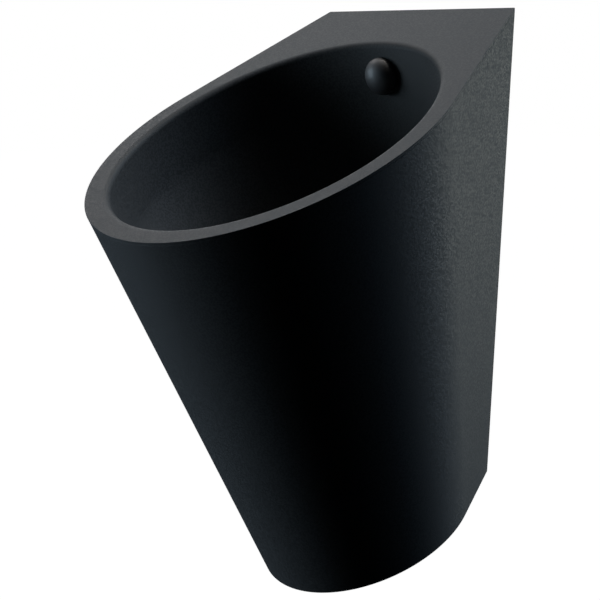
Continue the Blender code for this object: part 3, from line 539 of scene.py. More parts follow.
def folded_bar(node, path, sheet, half, corner):
    """A strip of sheet folded along a (y, z) path, with real bend radii and rounded free corners."""
    line = rounded(path, 1.2 * sheet, 6, closed=False)
    line = spaced(line, [corner * (1 - math.cos(a)) for a in quarter(6)])
    length = sum((Vector(b) - Vector(a)).length for a, b in zip(line, line[1:]))
    bm = bmesh.new()
    loops = []
    walked = 0.0
    for i, point in enumerate(line):
        if i:
            walked += (Vector(point) - Vector(line[i - 1])).length
        ahead = Vector(line[min(i + 1, len(line) - 1)]) - Vector(line[max(i - 1, 0)])
        normal = Vector((-ahead.y, ahead.x)).normalized() * (sheet / 2)
        into = max(0.0, corner - min(walked, length - walked))
        reach = half - (corner - math.sqrt(max(0.0, corner ** 2 - into ** 2)))
        front, back = Vector(point) + normal, Vector(point) - normal
        corners = ((-reach, front), (reach, front), (reach, back), (-reach, back))
        loops.append([bm.verts.new((x, p.x, p.y)) for x, p in corners])
    loop_faces(bm, loops, closed_around=True)
    bm.faces.new(loops[0])
    bm.faces.new(loops[-1])
    return new_piece(bm, node)


def spaced(line, ends):
    """Adds points near both ends of a path, at these distances from them."""
    head, tail = Vector(line[0]), Vector(line[-1])
    out, back = (Vector(line[1]) - head).normalized(), (Vector(line[-2]) - tail).normalized()
    first = [tuple(head + out * d) for d in ends]
    last = [tuple(tail + back * d) for d in reversed(ends)]
    return first + line[1:-1] + last


def circle(radius, count, centre=(0.0, 0.0)):
    angles = [2 * math.pi * i / count for i in range(count)]
    return [(centre[0] + radius * math.cos(a), centre[1] + radius * math.sin(a)) for a in angles]


# ---- body
def between(a, b, parts):
    """The points that split a straight length into equal parts, without its ends."""
    return [(a[0] + (b[0] - a[0]) * i / parts, a[1] + (b[1] - a[1]) * i / parts) for i in range(1, parts)]


def outline(deep, inset=0.0, off_wall=0.0, fold=0.0):
    """The body's outline at this depth, as (across, along), from one wall corner round to the other."""
    radius = RIM_RADIUS - BODY_TAPER * deep - inset
    centre = RIM_CENTRE + BODY_TAPER * deep
    wall = deep * math.tan(RIM_TILT) + off_wall
    corner = ((centre - wall) * math.cos(SIDE_ANGLE) + radius) / math.sin(SIDE_ANGLE)
    angles = [SIDE_ANGLE * (2 * i / ARC_STEPS - 1) for i in range(ARC_STEPS + 1)]
    arc = [(radius * math.sin(a), centre + radius * math.cos(a)) for a in angles]
    bend = rounded([(0.0, wall), (corner, wall), arc[-1]], fold, FOLD_STEPS, closed=False)[1:-1]
    mirrored = [(-x, along) for x, along in bend]
    return [*mirrored, *between(mirrored[-1], arc[0], SIDE_STEPS), *arc,
            *between(arc[-1], bend[-1], SIDE_STEPS), *reversed(bend)]


def circle_on_rim(radius, deep):
    angles = [2 * math.pi * i / BOWL_STEPS for i in range(BOWL_STEPS)]
    return [rim_point(radius * math.sin(a), RIM_CENTRE + radius * math.cos(a), deep) for a in angles]


def build_skin():
    """The folded sheet, with its two returns against the wall."""
    bm = bmesh.new()
    rows = []
    for i in range(SKIN_LEVELS + 1):
        deep = SKIN_START + (BODY_LENGTH - SKIN_START) * i / SKIN_LEVELS
        points = outline(deep, fold=FOLD_ROUND)
        wall = deep * math.tan(RIM_TILT)
        reach = abs(points[0][0]) + FOLD_ROUND - RETURN_WIDTH
        points = [(-reach, wall), *points, (reach, wall)]
        rows.append([bm.verts.new(rim_point(x, along, deep)) for x, along in points])
    loop_faces(bm, [list(reversed(row)) for row in rows])
    skin = new_piece(bm, "outer_skin", weighted=False)
    thicken(skin, SHEET, INSIDE, True)
    add_bevel(skin, CUT_ROUND, math.radians(60.0))
    add_weighted_normals(skin)


def build_deck():
    """The sloping rim, rounded over at its outer edge down to where the skin starts."""
    bm = bmesh.new()
    start = SHEET * math.tan(RIM_TILT)
    rows = []
    for a in quarter(EDGE_STEPS):
        inset, deep = EDGE_ROUND * (1 - math.sin(a)), EDGE_ROUND * (1 - math.cos(a))
        off_wall = max(start - deep * math.tan(RIM_TILT), 0.0) + inset
        rows.append([rim_point(x, along, deep) for x, along in outline(deep, inset, off_wall, FOLD_ROUND)])
    for deep, inset in ((SKIN_START, 0.0), (SKIN_START, SHEET), (SHEET, SHEET)):
        rows.append([rim_point(x, along, deep) for x, along in outline(deep, inset, inset, FOLD_ROUND)])
    rows = [[bm.verts.new(p) for p in row] for row in rows]
    loop_faces(bm, rows, closed_around=True)
    inner = [[bm.verts.new(p) for p in circle_on_rim(LIP_EDGE, deep)] for deep in (0.0, SHEET)]
    loop_faces(bm, inner, closed_around=True)
    for ring, hole in ((rows[0], inner[0]), (rows[-1], inner[1])):
        edges = [bm.edges.get((a, b)) for loop in (ring, hole) for a, b in zip(loop, loop[1:] + loop[:1])]
        bmesh.ops.triangle_fill(bm, use_beauty=True, edges=edges)
    new_piece(bm, "rim_deck")


def bowl_wall_point(angle, deep):
    radius = BOWL_RADIUS - BOWL_TAPER * deep
    centre = RIM_CENTRE + BOWL_TAPER * deep
    return rim_point(radius * math.sin(angle), centre + radius * math.cos(angle), deep)


def lip_points(angle):
    turn = math.pi / 2 - math.atan(BOWL_TAPER * (1 - math.cos(angle)))
    start = BOWL_RADIUS + LIP_RADIUS * math.tan(turn / 2)
    stops = [turn * i / LIP_STEPS for i in range(LIP_STEPS + 1)]
    rounding = [(start - LIP_RADIUS * math.sin(a), LIP_RADIUS * (1 - math.cos(a))) for a in stops]
    radii = [(LIP_EDGE, 0.0), *rounding]
    return [rim_point(r * math.sin(angle), RIM_CENTRE + r * math.cos(angle), deep) for r, deep in radii]


def wall_and_floor_points(angle):
    start = bowl_wall_point(angle, WALL_DEPTH)
    down = (start - bowl_wall_point(angle, 0.0)).normalized()
    outward = Vector((math.sin(angle), -math.cos(angle), 0.0))
    end = DRAIN + outward * DRAIN_RADIUS
    rise = outward * math.cos(FLOOR_FALL) + Vector((0.0, 0.0, math.sin(FLOOR_FALL)))
    chord = (end - start).length
    control = (start, start + down * WALL_REACH * chord, end + rise * FLOOR_REACH * chord, end)
    depths = [WALL_START + (WALL_DEPTH - WALL_START) * i / WALL_STEPS for i in range(WALL_STEPS)]
    points = [bowl_wall_point(angle, deep) for deep in depths]
    for i in range(FLOOR_STEPS + 1):
        u = i / FLOOR_STEPS
        weights = ((1 - u) ** 3, 3 * u * (1 - u) ** 2, 3 * u * u * (1 - u), u ** 3)
        points.append(sum((p * w for p, w in zip(control, weights)), Vector()))
    return points


def drain_points(angle):
    """The pressed step down to the seat, with a small radius at its top and foot."""
    outward = Vector((math.sin(angle), -math.cos(angle), 0.0))
    corner = [(DRAIN_RADIUS, 0.0), (DRAIN_RADIUS - 0.0012, -0.0001), (SEAT_RADIUS + 0.0008, -DRAIN_STEP),
              (SEAT_RADIUS - 0.004, -DRAIN_STEP), (DRAIN_HOLE, -DRAIN_STEP)]
    smooth = rounded(corner, [0.0, 0.0011, 0.0011, 0.0, 0.0], 4, closed=False)
    return [DRAIN + outward * radius + Vector((0.0, 0.0, height)) for radius, height in smooth[1:]]


def build_bowl():
    bm = bmesh.new()
    columns = []
    for i in range(BOWL_STEPS):
        angle = 2 * math.pi * i / BOWL_STEPS
        points = lip_points(angle) + wall_and_floor_points(angle) + drain_points(angle)
        columns.append([bm.verts.new(p) for p in points])
    loop_faces(bm, [list(row) for row in zip(*columns)], closed_around=True)
    bowl = new_piece(bm, "bowl", weighted=False)
    thicken(bowl, SHEET, INSIDE, False)
    apply_modifiers(bowl)
    cut(bowl, rod(INLET_HOLE, -THROUGH, THROUGH, INLET_AXIS, 64))
    add_weighted_normals(bowl)


# ---- underside
FLANGE_WIDTH = 0.018
FLANGE_SET_IN = 0.0032
FLANGE_OFF_WALL = 0.004
COVER_DEPTH = BODY_LENGTH - FLANGE_SET_IN + GAP  # upper face of the cover
HINGE_OFF_WALL = 0.0200
HINGE_DEPTH = COVER_DEPTH + 0.0022
HINGE_X = 0.036
BARREL = 0.0022
PIN = 0.0011
PIN_BORE = 0.0013
KNUCKLE_HALF = 0.0090
KNUCKLE_END = 0.0060
SCREW_ANGLE = math.radians(38.0)
HINGE_POINT = rim_point(0.0, HINGE_DEPTH * math.tan(RIM_TILT) + HINGE_OFF_WALL, HINGE_DEPTH)
HINGE_AXIS = tilted(HINGE_POINT, RIM_TILT)
LEAF_FACE = HINGE_DEPTH - COVER_DEPTH  # where the cover and the leaves meet, over the hinge's axis


def cover_screw_spot(side):
    deep = BODY_LENGTH - FLANGE_SET_IN
    radius = RIM_RADIUS - BODY_TAPER * deep - SHEET - FLANGE_WIDTH / 2
    centre = RIM_CENTRE + BODY_TAPER * deep
    return side * radius * math.sin(SCREW_ANGLE), centre + radius * math.cos(SCREW_ANGLE)


def flat_plate(bm, loops, top, bottom):
    """A plate in the body's own slope, between two depths. Loops after the first are holes."""
    rings = []
    for deep in (top, bottom):
        level = [[bm.verts.new(rim_point(x, along, deep)) for x, along in loop] for loop in loops]
        edges = [bm.edges.new(pair) for ring in level for pair in zip(ring, ring[1:] + ring[:1])]
        bmesh.ops.triangle_fill(bm, use_beauty=True, edges=edges)
        rings.append(level)
    for upper, lower in zip(*rings):
        loop_faces(bm, [upper, lower], closed_around=True)


def screw_holes(radius):
    return [circle(radius, 40, cover_screw_spot(side)) for side, _ in SIDES]


def build_bottom_flange():
    bm = bmesh.new()
    deep = BODY_LENGTH - FLANGE_SET_IN
    edge = SHEET + 2 * GAP
    outer = outline(deep, edge, FLANGE_OFF_WALL, 0.003)
    inner = outline(deep, edge + FLANGE_WIDTH, FLANGE_OFF_WALL + FLANGE_WIDTH, 0.006)
    flat_plate(bm, [outer, inner, *screw_holes(0.0028)], deep - SHEET, deep)
    add_bevel(new_piece(bm, "bottom_flange"), 0.0002)


def build_cover():
    """The flat cover that closes the body from below, with its two hinge knuckles."""
    bm = bmesh.new()
    deep = COVER_DEPTH + SHEET
    edge = outline(deep, SHEET + 0.0010, HINGE_OFF_WALL + BARREL + 0.0008, 0.003)
    flat_plate(bm, [edge, *screw_holes(0.0026)], COVER_DEPTH, deep)
    cover = new_piece(bm, "service_cover")
    tab = -0.0080
    for side, _ in SIDES:
        x = side * HINGE_X
        low, high = x - KNUCKLE_HALF, x + KNUCKLE_HALF
        cut(cover, box_mesh((low, tab, LEAF_FACE - SHEET), (high, 0.0, LEAF_FACE), HINGE_AXIS), "UNION")
        cut(cover, rod_along_x(BARREL, low, high), "UNION")
        cut(cover, rod_along_x(PIN_BORE, x - THROUGH, x + THROUGH))
    add_bevel(cover, 0.0002)


def rod_along_x(radius, low, high):
    return rod(radius, low, high, HINGE_AXIS @ Matrix.Rotation(math.pi / 2, 4, "Y"), 32)


def build_hinge(side, word):
    """The leaf under the flange, with a rolled knuckle at each end, and the pin with peened heads."""
    x = side * HINGE_X
    slot = KNUCKLE_HALF + GAP
    end, depth = slot + KNUCKLE_END, 0.0140
    leaf = box_mesh((x - end, 0.0, LEAF_FACE - SHEET), (x + end, depth, LEAF_FACE), HINGE_AXIS)
    leaf = new_piece(leaf, f"cover_hinge_{word}")
    for way in (-1, 1):
        low, high = sorted((x + way * slot, x + way * end))
        cut(leaf, rod_along_x(BARREL, low, high), "UNION")
    reach = BARREL + 0.0028
    cut(leaf, box_mesh((x - slot, -reach, -reach), (x + slot, reach, reach), HINGE_AXIS))
    cut(leaf, rod_along_x(PIN_BORE, x - THROUGH, x + THROUGH))
    add_bevel(leaf, 0.00025)

    head, wide, shoulder = 0.0010, 0.0019, end + GAP
    profile = [(0.0, shoulder + head), (wide, shoulder + head), (wide, shoulder), (PIN, shoulder),
               (PIN, -shoulder), (wide, -shoulder), (wide, -shoulder - head), (0.0, -shoulder - head)]
    lying = HINGE_AXIS @ Matrix.Translation((x, 0.0, 0.0)) @ Matrix.Rotation(math.pi / 2, 4, "Y")
    turned(f"hinge_pin_{word}", profile, lying, 0.0005, 32)


def build_screw(node, axis, shank, tip, tip_radius, taper, head_radius, crown, rim, head, socket, under,
                pitch):
    """A screw that points up, with a low domed head below and a hexagon socket in it."""
    marks, ripple = thread(shank, 0.6 * pitch, pitch, under + 0.003, tip - taper)
    dome = [(crown + (head_radius - crown) * math.cos(a), under - rim - (head - rim) * math.sin(a))
            for a in quarter(8)]
    profile = [(0.0, tip), (tip_radius, tip), *reversed(marks), (shank, under), (head_radius, under), *dome,
               (0.0, under - head)]
    soft = [0.0002 if 0 < r <= shank * 0.9 else 0.0 for r, _ in profile]
    screw = turned(node, profile, axis, soft, 48, ripple, 3)
    past, floor = under - 2 * head, under - rim
    cut(screw, spun([(0.0, past), (socket, past), (socket, floor), (0.0, floor - 0.0003)], axis, 6))
    add_bevel(screw, 0.00012)


def build_cover_screw(side, word):
    across, along = cover_screw_spot(side)
    axis = tilted(rim_point(across, along, COVER_DEPTH), RIM_TILT)
    build_screw(f"cover_screw_{word}", axis, shank=0.0021, tip=0.0088, tip_radius=0.0012, taper=0.0018,
                head_radius=0.0050, crown=0.0036, rim=0.0008, head=0.0024, socket=0.0018, under=-SHEET - GAP,
                pitch=0.0007)
    foot = GAP + SHEET + GAP
    hex_nut(f"cover_nut_{word}", 0.009, 0.0027, foot, foot + 0.0038, axis)


# ---- wall fixing
BRACKET_SHEET = 0.0025
RAIL_SHEET = 0.0020
LOWER_FIX = BACK_TOP - 0.360
WALL_HOLE_X = 0.055
BRACKET_TOP = 0.025
LOCK_X, LOCK_Y = 0.042, -0.013


def build_hanger():
    """The body's rail drops a tongue behind the upturned lip of the bracket on the wall."""
    t = BRACKET_SHEET
    foot, shelf, lip, lip_top = -0.026, BRACKET_TOP - t / 2, -0.012 + t / 2, 0.036
    path = [(-t / 2, foot), (-t / 2, shelf), (lip, shelf), (lip, lip_top)]
    bracket = folded_bar("wall_bracket", path, t, half=0.080, corner=0.006)
    for side, _ in SIDES:
        cut(bracket, cylinder_along_y(0.0045, side * WALL_HOLE_X, 0.0, 0.012))
    add_bevel(bracket, 0.0003)

    s = RAIL_SHEET
    tongue, web, top, foot = -0.005 - s / 2, -0.0135 - s / 2, 0.052 - s / 2, -0.020
    path = [(tongue, BRACKET_TOP + GAP), (tongue, top), (web, top), (web, foot)]
    add_bevel(folded_bar("hanger_rail", path, s, half=0.100, corner=0.004), 0.0003)


def build_lower_fixing():
    """The body's crossbar rests on the lower wall bracket, and two screws from below lock it down."""
    t, s = BRACKET_SHEET, RAIL_SHEET
    top = LOWER_FIX - GAP
    path = [(-t / 2, top + 0.034), (-t / 2, top - t / 2), (-0.022, top - t / 2)]
    bracket = folded_bar("lower_wall_bracket", path, t, half=0.056, corner=0.006)
    web, level = -0.024 + s / 2, LOWER_FIX + s / 2
    path = [(-0.004, level), (web, level), (web, LOWER_FIX + 0.026)]
    crossbar = folded_bar("lower_crossbar", path, s, half=0.082, corner=0.004)
    for side, word in SIDES:
        axis = Matrix.Translation((side * LOCK_X, LOCK_Y, LOWER_FIX))
        for plate in (bracket, crossbar):
            cut(plate, rod(0.0034, -0.012, 0.012, axis, 40))
        cut(bracket, cylinder_along_y(0.0035, side * 0.020, top + 0.019, 0.012))
        build_screw(f"lock_screw_{word}", axis, shank=0.0030, tip=0.016, tip_radius=0.0022, taper=0.0012,
                    head_radius=0.0062, crown=0.0045, rim=0.0012, head=0.0036, socket=0.0024,
                    under=-GAP - t - GAP, pitch=0.0010)
        foot = s + GAP
        hex_nut(f"lock_nut_{word}", 0.010, 0.0033, foot, foot + 0.005, axis)
    add_bevel(bracket, 0.0003)
    add_bevel(crossbar, 0.0003)


def cylinder_along_y(radius, x, z, half):
    return rod(radius, -half, half, tilted((x, 0.0, z), math.pi / 2), 48)


# ---- water inlet, heights along its axis
TAIL_RADIUS = 0.0104
TAIL_BORE = 0.0075
TAIL_END = -0.026
PIPE_THREAD = 0.0018  # pitch of the half-inch pipe thread


def build_spreader():
    """The domed cap in the bowl, with slots at its lower edge where the water leaves."""
    radius, side, height, skirt, wall = 0.0178, 0.0030, 0.0155, 0.0015, 0.0020
    stops = quarter(24)
    dome = [(radius * math.sin(a), side + (height - side) * math.cos(a)) for a in stops]
    bore = radius - wall
    inner = [(bore * math.sin(a), side + (height - wall - side) * math.cos(a)) for a in reversed(stops)]
    foot = [(radius, side), (radius, skirt), (bore, skirt), (bore, side)]
    foot = rounded(foot, 0.0005, 3, closed=False)[1:-1]
    spreader = new_piece(spun(dome + foot + inner, INLET_AXIS), "inlet_spreader")
    count, pitch = 5, math.radians(24.0)
    reach, half, low, high = 0.0040, 0.0015, 0.0045, 0.0071
    for i in range(count):
        turn = INLET_AXIS @ Matrix.Rotation(pitch * (i - (count - 1) / 2) - math.pi / 2, 4, "Z")
        cut(spreader, box_mesh((radius - reach, -half, low), (radius + reach, half, high), turn))


def build_inlet():
    """The threaded tail through the bowl's wall, and what clamps it there."""
    flange, top, foot = 0.0148, 0.0053, 0.0034
    mouth, mouth_foot = TAIL_BORE + 0.001, 0.0044
    marks, ripple = thread(TAIL_RADIUS, 0.0011, PIPE_THREAD, TAIL_END + 0.0006, -0.0010)
    profile = [(mouth, top), (flange, top), (flange, foot), (TAIL_RADIUS, foot), *reversed(marks),
               (TAIL_RADIUS - 0.0004, TAIL_END), (TAIL_BORE, TAIL_END), (TAIL_BORE, mouth_foot)]
    turned("inlet_tail", profile, INLET_AXIS, 0.0003, 72, ripple)
    ring("inlet_gasket", flange - 0.0002, TAIL_RADIUS + GAP, foot - GAP, 0.0018, INLET_AXIS, 0.0004)
    rings = (("inlet_rear_seal", 0.0155, 0.0020, 0.0004), ("inlet_washer", 0.0155, 0.0012, 0.0002))
    level = stacked(rings, TAIL_RADIUS + GAP, -SHEET - 0.0004, INLET_AXIS)
    hex_nut("inlet_locknut", 0.027, TAIL_RADIUS + GAP, level - 0.0060, level, INLET_AXIS)


def build_supply():
    """The union that joins the inlet's tail to the supply pipe, which ends flush with the wall."""
    pipe, bore, collar, neck = 0.0070, 0.0055, 0.0100, 0.0074
    seat = TAIL_END - 0.0050
    hex_nut("supply_nut", 0.030, neck + GAP, -0.0340, -0.0170, INLET_AXIS, (TAIL_RADIUS + GAP, seat))
    seal_foot = TAIL_END - 0.0023
    ring("supply_seal", collar, 0.0060, TAIL_END - GAP, seal_foot, INLET_AXIS, 0.0003)
    top, end = seal_foot - GAP, -0.060
    profile = [(collar, top), (collar, seat + GAP), (pipe, seat + GAP), (pipe, end), (bore, end), (bore, top)]
    supply = turned("supply_pipe", profile, INLET_AXIS, 0.0004)
    reach, z = 0.04, INLET_POINT.z
    cut(supply, box_mesh((-reach, 0.0, z - reach), (reach, 2 * reach, z + reach), Matrix()))


# ---- waste, heights from the drain
WASTE_RADIUS = 0.023
WASTE_BORE = 0.020
WASTE_END = -0.046
STRAINER_RADIUS = 0.033
STRAINER_CROWN = 0.0069
STRAINER_RINGS = ((1, 0.0), (6, 0.0075), (10, 0.0145), (14, 0.0262))


def build_waste():
    flange_top, flange_foot, throat_foot = -0.0007, GAP - DRAIN_STEP, -0.0060
    marks, ripple = thread(WASTE_RADIUS, 0.0012, 0.0020, WASTE_END + 0.0006, -0.0070)
    profile = [(0.0380, flange_top), (0.0380, flange_foot), (WASTE_RADIUS, flange_foot), *reversed(marks),
               (WASTE_RADIUS - 0.0004, WASTE_END), (WASTE_BORE, WASTE_END), (WASTE_BORE, throat_foot),
               (WASTE_BORE + 0.0040, flange_top)]
    turned("waste_body", profile, DRAIN_AXIS, 0.0004, 96, ripple)
    rings = (("waste_gasket", 0.0360, 0.0030, 0.0006), ("waste_washer", 0.0350, 0.0015, 0.0003))
    level = stacked(rings, WASTE_RADIUS + 0.0004, -DRAIN_STEP - SHEET - GAP, DRAIN_AXIS)
    hex_nut("waste_locknut", 0.060, WASTE_RADIUS + GAP, level - 0.0090, level, DRAIN_AXIS)


def strainer_height(radius):
    return -0.0004 + STRAINER_CROWN * (1 - (radius / STRAINER_RADIUS) ** 2)


def build_strainer():
    """A domed strainer that lifts out. Its skirt drops into the waste's bore."""
    sheet, edge = 0.0013, strainer_height(STRAINER_RADIUS)
    outer, inner, foot = WASTE_BORE - 0.0006, WASTE_BORE - 0.0018, -0.0100
    radii = [0.031 * i / 18 for i in range(19)]
    top = [(r, strainer_height(r)) for r in radii]
    under = [(r, strainer_height(r) - sheet) for r in (0.0295, 0.026, 0.0225)]
    inside = [(r, strainer_height(r) - sheet) for r in (0.0165, 0.0140, 0.0110, 0.0080, 0.0050, 0.0025, 0.0)]
    lip = rounded([top[-1], (STRAINER_RADIUS, edge + 0.0004), (STRAINER_RADIUS, edge),
                   (STRAINER_RADIUS - 0.0015, edge), under[0]], 0.0003, 3, closed=False)[1:-1]
    skirt = rounded([under[-1], (outer, strainer_height(outer) - sheet), (outer, foot), (inner, foot),
                     (inner, strainer_height(inner) - sheet), inside[0]], 0.0003, 3, closed=False)[1:-1]
    strainer = new_piece(spun([*top, *lip, *under, *skirt, *inside], DRAIN_AXIS), "strainer")
    holes, hole, depth = bmesh.new(), 0.002, 0.015
    for count, radius in STRAINER_RINGS:
        for x, y in circle(radius, count):
            spot = DRAIN_AXIS @ Matrix.Translation((x, y, 0.0))
            spin(holes, [(0.0, -depth), (hole, -depth), (hole, depth), (0.0, depth)], spot, 24)
    cut(strainer, holes)
    add_bevel(strainer, 0.00025, math.radians(50.0))


# ---- trap, heights from the drain
TRAP_NECK = 0.0260
TRAP_NECK_FOOT = -0.0531
TRAP_RADIUS = 0.031
TRAP_WALL = 0.003
TRAP_THREAD = 0.0295
TRAP_BOTTOM = -0.120
TRAP_SEAL = 0.0025
DIP_RADIUS = 0.0165
BRANCH_RADIUS = 0.020
BRANCH_END = 0.050
CUP_RADIUS = 0.036
CUP_TOP = -0.1115
CUP_BOTTOM = -0.150
PIPE_RADIUS = 0.016
PIPE_BORE = 0.0145


def build_trap_union():
    """The seal under the waste's end, and the ribbed nut that pulls the trap's neck up to it."""
    seal_top = WASTE_END - GAP
    ring("trap_seal", TRAP_NECK - 0.0004, WASTE_BORE, seal_top, seal_top - TRAP_SEAL, DRAIN_AXIS, 0.0006)
    outer, top, foot = 0.0310, -0.0320, -0.0570
    bore, inner, ledge = WASTE_RADIUS + 0.0004, TRAP_NECK + 0.0004, TRAP_NECK_FOOT - GAP
    side = between((outer, top), (outer, foot), 8)
    profile = [(outer, top), *side, (outer, foot), (0.0224, foot), (0.0224, ledge), (inner, ledge),
               (inner, WASTE_END + GAP), (bore, WASTE_END + 0.0010), (bore, top)]
    turned("trap_nut", profile, DRAIN_AXIS, 0.0008, 288, ribs(24, 0.0011, outer, top, foot))


def build_trap_body():
    """A bottle trap's body: an inlet neck, a wide bottle with a thread below, and a branch to the wall."""
    neck_top = WASTE_END - GAP - TRAP_SEAL - GAP
    neck, shoulder_top, shoulder_foot, thread_top = 0.0220, -0.0600, -0.0660, -0.1040
    marks, ripple = thread(TRAP_THREAD, 0.0013, 0.0040, TRAP_BOTTOM + 0.0010, thread_top - 0.0015, 10)
    outside = [(0.0, neck_top), (TRAP_NECK, neck_top), (TRAP_NECK, TRAP_NECK_FOOT), (neck, TRAP_NECK_FOOT),
               (neck, shoulder_top), (TRAP_RADIUS, shoulder_foot), (TRAP_RADIUS, thread_top),
               (TRAP_THREAD, thread_top - 0.0005), *reversed(marks), (TRAP_THREAD - 0.0003, TRAP_BOTTOM),
               (0.0, TRAP_BOTTOM)]
    soft = [0.0 if abs(r - TRAP_THREAD) < 1e-6 or r < ON_AXIS else 0.0012 for r, _ in outside]
    body = turned("trap_body", outside, DRAIN_AXIS, soft, 120, ripple, 5)
    marks, ripple = thread(BRANCH_RADIUS, 0.0010, 0.0030, 0.0360, BRANCH_END - 0.0008)
    branch = [(0.0, 0.0), (BRANCH_RADIUS, 0.0), *marks, (BRANCH_RADIUS - 0.0003, BRANCH_END),
              (0.0, BRANCH_END)]
    cut(body, spun(branch, BRANCH_AXIS, 96, ripple), "UNION")
    throat, bottle, mouth, past = DIP_RADIUS + 0.0007, TRAP_RADIUS - TRAP_WALL, TRAP_THREAD - TRAP_WALL, 0.010
    cavity = [(0.0, neck_top + past), (0.0190, neck_top + past), (0.0190, -0.0560), (throat, -0.0560),
              (throat, shoulder_top - 0.0025), (bottle, shoulder_foot - TRAP_WALL), (bottle, thread_top),
              (mouth, thread_top - 0.002), (mouth, TRAP_BOTTOM - past), (0.0, TRAP_BOTTOM - past)]
    cut(body, spun(cavity, DRAIN_AXIS))
    socket, socket_start, open_end = PIPE_RADIUS + 0.0006, 0.036, BRANCH_END + past
    bore = [(0.0, 0.0), (0.015, 0.0), (0.015, socket_start), (socket, socket_start), (socket, open_end),
            (0.0, open_end)]
    cut(body, spun(bore, BRANCH_AXIS))


def build_dip_tube():
    rim, top, foot, bore, end = 0.0186, -0.0545, -0.0557, DIP_RADIUS - 0.0015, -0.140
    profile = [(rim, top), (rim, foot), (DIP_RADIUS, foot), (DIP_RADIUS, end), (bore, end), (bore, top)]
    turned("trap_dip_tube", profile, DRAIN_AXIS, 0.0004)


def build_trap_cup():
    """The cup unscrews from the bottle for cleaning. Its seal sits on the ledge inside it."""
    seal_top = TRAP_BOTTOM - GAP
    ledge = seal_top - TRAP_SEAL - GAP
    inner, mouth = 0.0274, TRAP_THREAD + GAP
    ring("trap_cup_seal", TRAP_THREAD, inner, seal_top, seal_top - TRAP_SEAL, DRAIN_AXIS, 0.0006)
    skirt_foot, bowl_top, bowl_foot, base = -0.1280, -0.1320, CUP_BOTTOM + 0.006, 0.0250
    floor = CUP_BOTTOM + 0.0025
    side = between((CUP_RADIUS, CUP_TOP), (CUP_RADIUS, skirt_foot), 10)
    profile = [(0.0, floor), (base - 0.001, floor), (inner, bowl_foot + 0.001), (inner, ledge),
               (mouth, ledge), (mouth, CUP_TOP), (CUP_RADIUS, CUP_TOP), *side, (CUP_RADIUS, skirt_foot),
               (0.0325, bowl_top), (0.0300, bowl_foot), (base, CUP_BOTTOM), (0.0, CUP_BOTTOM)]
    grips = ribs(12, 0.0016, CUP_RADIUS, CUP_TOP, skirt_foot, 6)
    turned("trap_cup", profile, DRAIN_AXIS, 0.0012, 288, grips, 5)


def build_outlet():
    """The pipe from the trap's branch to the wall, with its union and the collar against the wall."""
    wall = -DRAIN.y
    seal_end = BRANCH_END + 0.0045
    ring("outlet_seal", BRANCH_RADIUS, PIPE_RADIUS + GAP, seal_end, BRANCH_END + GAP, BRANCH_AXIS, 0.0006)
    ring("outlet_pipe", PIPE_RADIUS, PIPE_BORE, wall, 0.037, BRANCH_AXIS, 0.0003)
    outer, near, far, lip = 0.0260, BRANCH_END - 0.0120, BRANCH_END + 0.0095, seal_end + GAP
    thread_bore, bore = BRANCH_RADIUS + 0.0004, PIPE_RADIUS + 0.0004
    side = between((outer, far), (outer, near), 8)
    profile = [(outer, far), *side, (outer, near), (thread_bore, near), (thread_bore, lip), (bore, lip),
               (bore, far)]
    turned("outlet_nut", profile, BRANCH_AXIS, 0.0008, 240, ribs(20, 0.0010, outer, far, near))
    collar, flange, sleeve, length, bore = 0.026, 0.003, 0.0185, 0.012, PIPE_RADIUS + GAP
    fillet = [(sleeve + 0.0035 * (1 - math.sin(a)), wall - flange - 0.0035 * (1 - math.cos(a)))
              for a in quarter(6)]
    end = wall - length
    profile = [(collar, wall), (collar, wall - flange), *fillet, (sleeve, end), (bore, end), (bore, wall)]
    soft = [0.0, 0.0012, *[0.0] * len(fillet), 0.0006, 0.0004, 0.0]
    turned("outlet_collar", profile, BRANCH_AXIS, soft, 96)


# ---- camera, lights and stage
def direction(azimuth, elevation):
    """From the object towards this side. Azimuth 0 is the front and 90 the right side."""
    a, e = math.radians(azimuth), math.radians(elevation)
    return Vector((math.sin(a) * math.cos(e), -math.cos(a) * math.cos(e), math.sin(e)))


def add_camera():
    """From the front right and a little above."""
    azimuth, elevation, roll = 45.667, 7.623, math.radians(-1.286)
    target, distance, lens = Vector((0.0130, -0.1785, -0.1058)), 1.9246, 128.9
    right = Vector((math.cos(math.radians(azimuth)), math.sin(math.radians(azimuth)), 0.0))
    back = direction(azimuth, elevation)
    up = back.cross(right)
    turned_right = right * math.cos(roll) + up * math.sin(roll)
    turned_up = up * math.cos(roll) - right * math.sin(roll)
    camera = in_scene("camera", bpy.data.cameras.new("camera"))
    camera.data.lens = lens
    camera.data.sensor_width = 36.0
    camera.data.clip_end = 100.0
    place = Matrix((turned_right, turned_up, back)).transposed().to_4x4()
    place.translation = target + back * distance
    camera.matrix_world = place
    bpy.context.scene.camera = camera


def add_light(name, azimuth, elevation, power, colour):
    """A soft square light that faces LIT_POINT from this side."""
    towards = direction(azimuth, elevation)
    data = bpy.data.lights.new(name, "AREA")
    data.size = LIGHT_SIZE
    data.energy = power
    data.color = colour
    light = in_scene(name, data)
    light.location = LIT_POINT + towards * LIGHT_DISTANCE
    light.rotation_euler = towards.to_track_quat("Z", "Y").to_euler()
    light.visible_camera = False


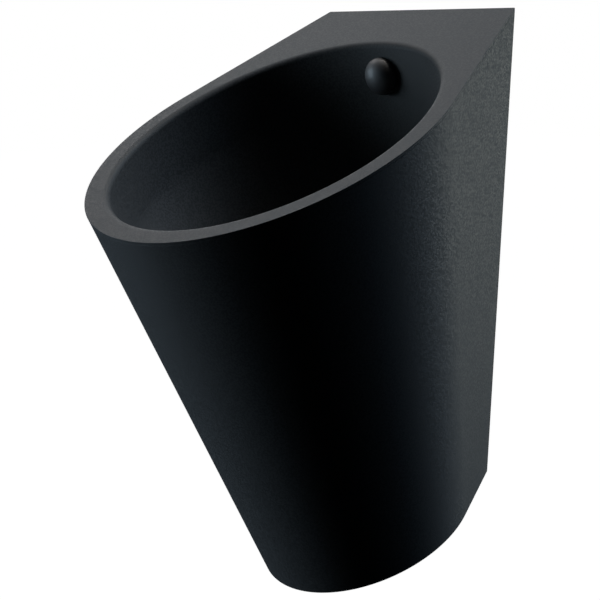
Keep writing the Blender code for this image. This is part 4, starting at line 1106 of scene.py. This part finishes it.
LIGHT_DISTANCE = 3.0
LIGHT_SIZE = 1.4
LIT_POINT = Vector((0.0, -0.18, -0.06))  # near the middle of the object
LIGHTS = (
    ("top_light", 180.0, 75.0, 76.0, (1.00, 0.96, 0.90)),
    ("high_light", 150.0, 60.0, 61.0, (0.50, 0.73, 1.00)),
    ("high_left_light", -90.0, 45.0, 23.0, (1.00, 0.97, 0.99)),
    ("back_left_light", -120.0, 30.0, 16.0, (1.00, 1.00, 1.00)),
    ("back_right_light", 170.0, 0.0, 29.0, (0.95, 1.00, 0.93)),
    ("low_right_light", 150.0, -15.0, 21.0, (0.56, 0.76, 1.00)),
    ("left_light", -60.0, -15.0, 22.0, (0.66, 0.82, 1.00)),
    ("front_left_light", -55.0, 5.0, 48.0, (0.68, 0.86, 1.00)),
)


FLOOR_HEIGHT = -3.0
SURROUND = 0.004  # what the surround adds to the light on the object
SURROUND_COLOUR = (0.55, 0.85, 1.0, 1.0)
WHITE = (1.0, 1.0, 1.0, 1.0)


def add_stage():
    """A plain pale floor well below the object, and a surround that the camera sees as white."""
    bm = bmesh.new()
    bmesh.ops.create_grid(bm, x_segments=1, y_segments=1, size=40.0)
    floor = in_scene("floor", bm)
    floor.location.z = FLOOR_HEIGHT
    n = Nodes("floor")
    floor.data.materials.append(n.finish(Base_Color=(0.9, 0.9, 0.9, 1.0), Roughness=0.9,
                                         Emission_Strength=1.0, Emission_Color=WHITE))
    floor.visible_diffuse = False
    floor.visible_glossy = False
    floor.visible_shadow = False

    world = bpy.data.worlds.new("surround")
    world.use_nodes = True
    tree = world.node_tree
    seen = add_node(tree, "ShaderNodeLightPath", {}).outputs["Is Camera Ray"]
    strength = add_node(tree, "ShaderNodeMapRange", {"Value": seen, "To Min": SURROUND})
    colour = add_node(tree, "ShaderNodeMix", {0: seen, 6: SURROUND_COLOUR, 7: WHITE}, data_type="RGBA")
    set_inputs(tree.nodes["Background"], {"Color": colour.outputs[2], "Strength": strength.outputs["Result"]})
    bpy.context.scene.world = world
    bpy.context.scene.view_settings.view_transform = "Standard"


add_camera()
for LIGHT in LIGHTS:
    add_light(*LIGHT)
add_stage()
build_skin()
build_deck()
build_bowl()
build_bottom_flange()
build_cover()
for SIDE, WORD in SIDES:
    build_hinge(SIDE, WORD)
    build_cover_screw(SIDE, WORD)
build_hanger()
build_lower_fixing()
build_spreader()
build_inlet()
build_supply()
build_waste()
build_strainer()
build_trap_union()
build_trap_body()
build_dip_tube()
build_trap_cup()
build_outlet()
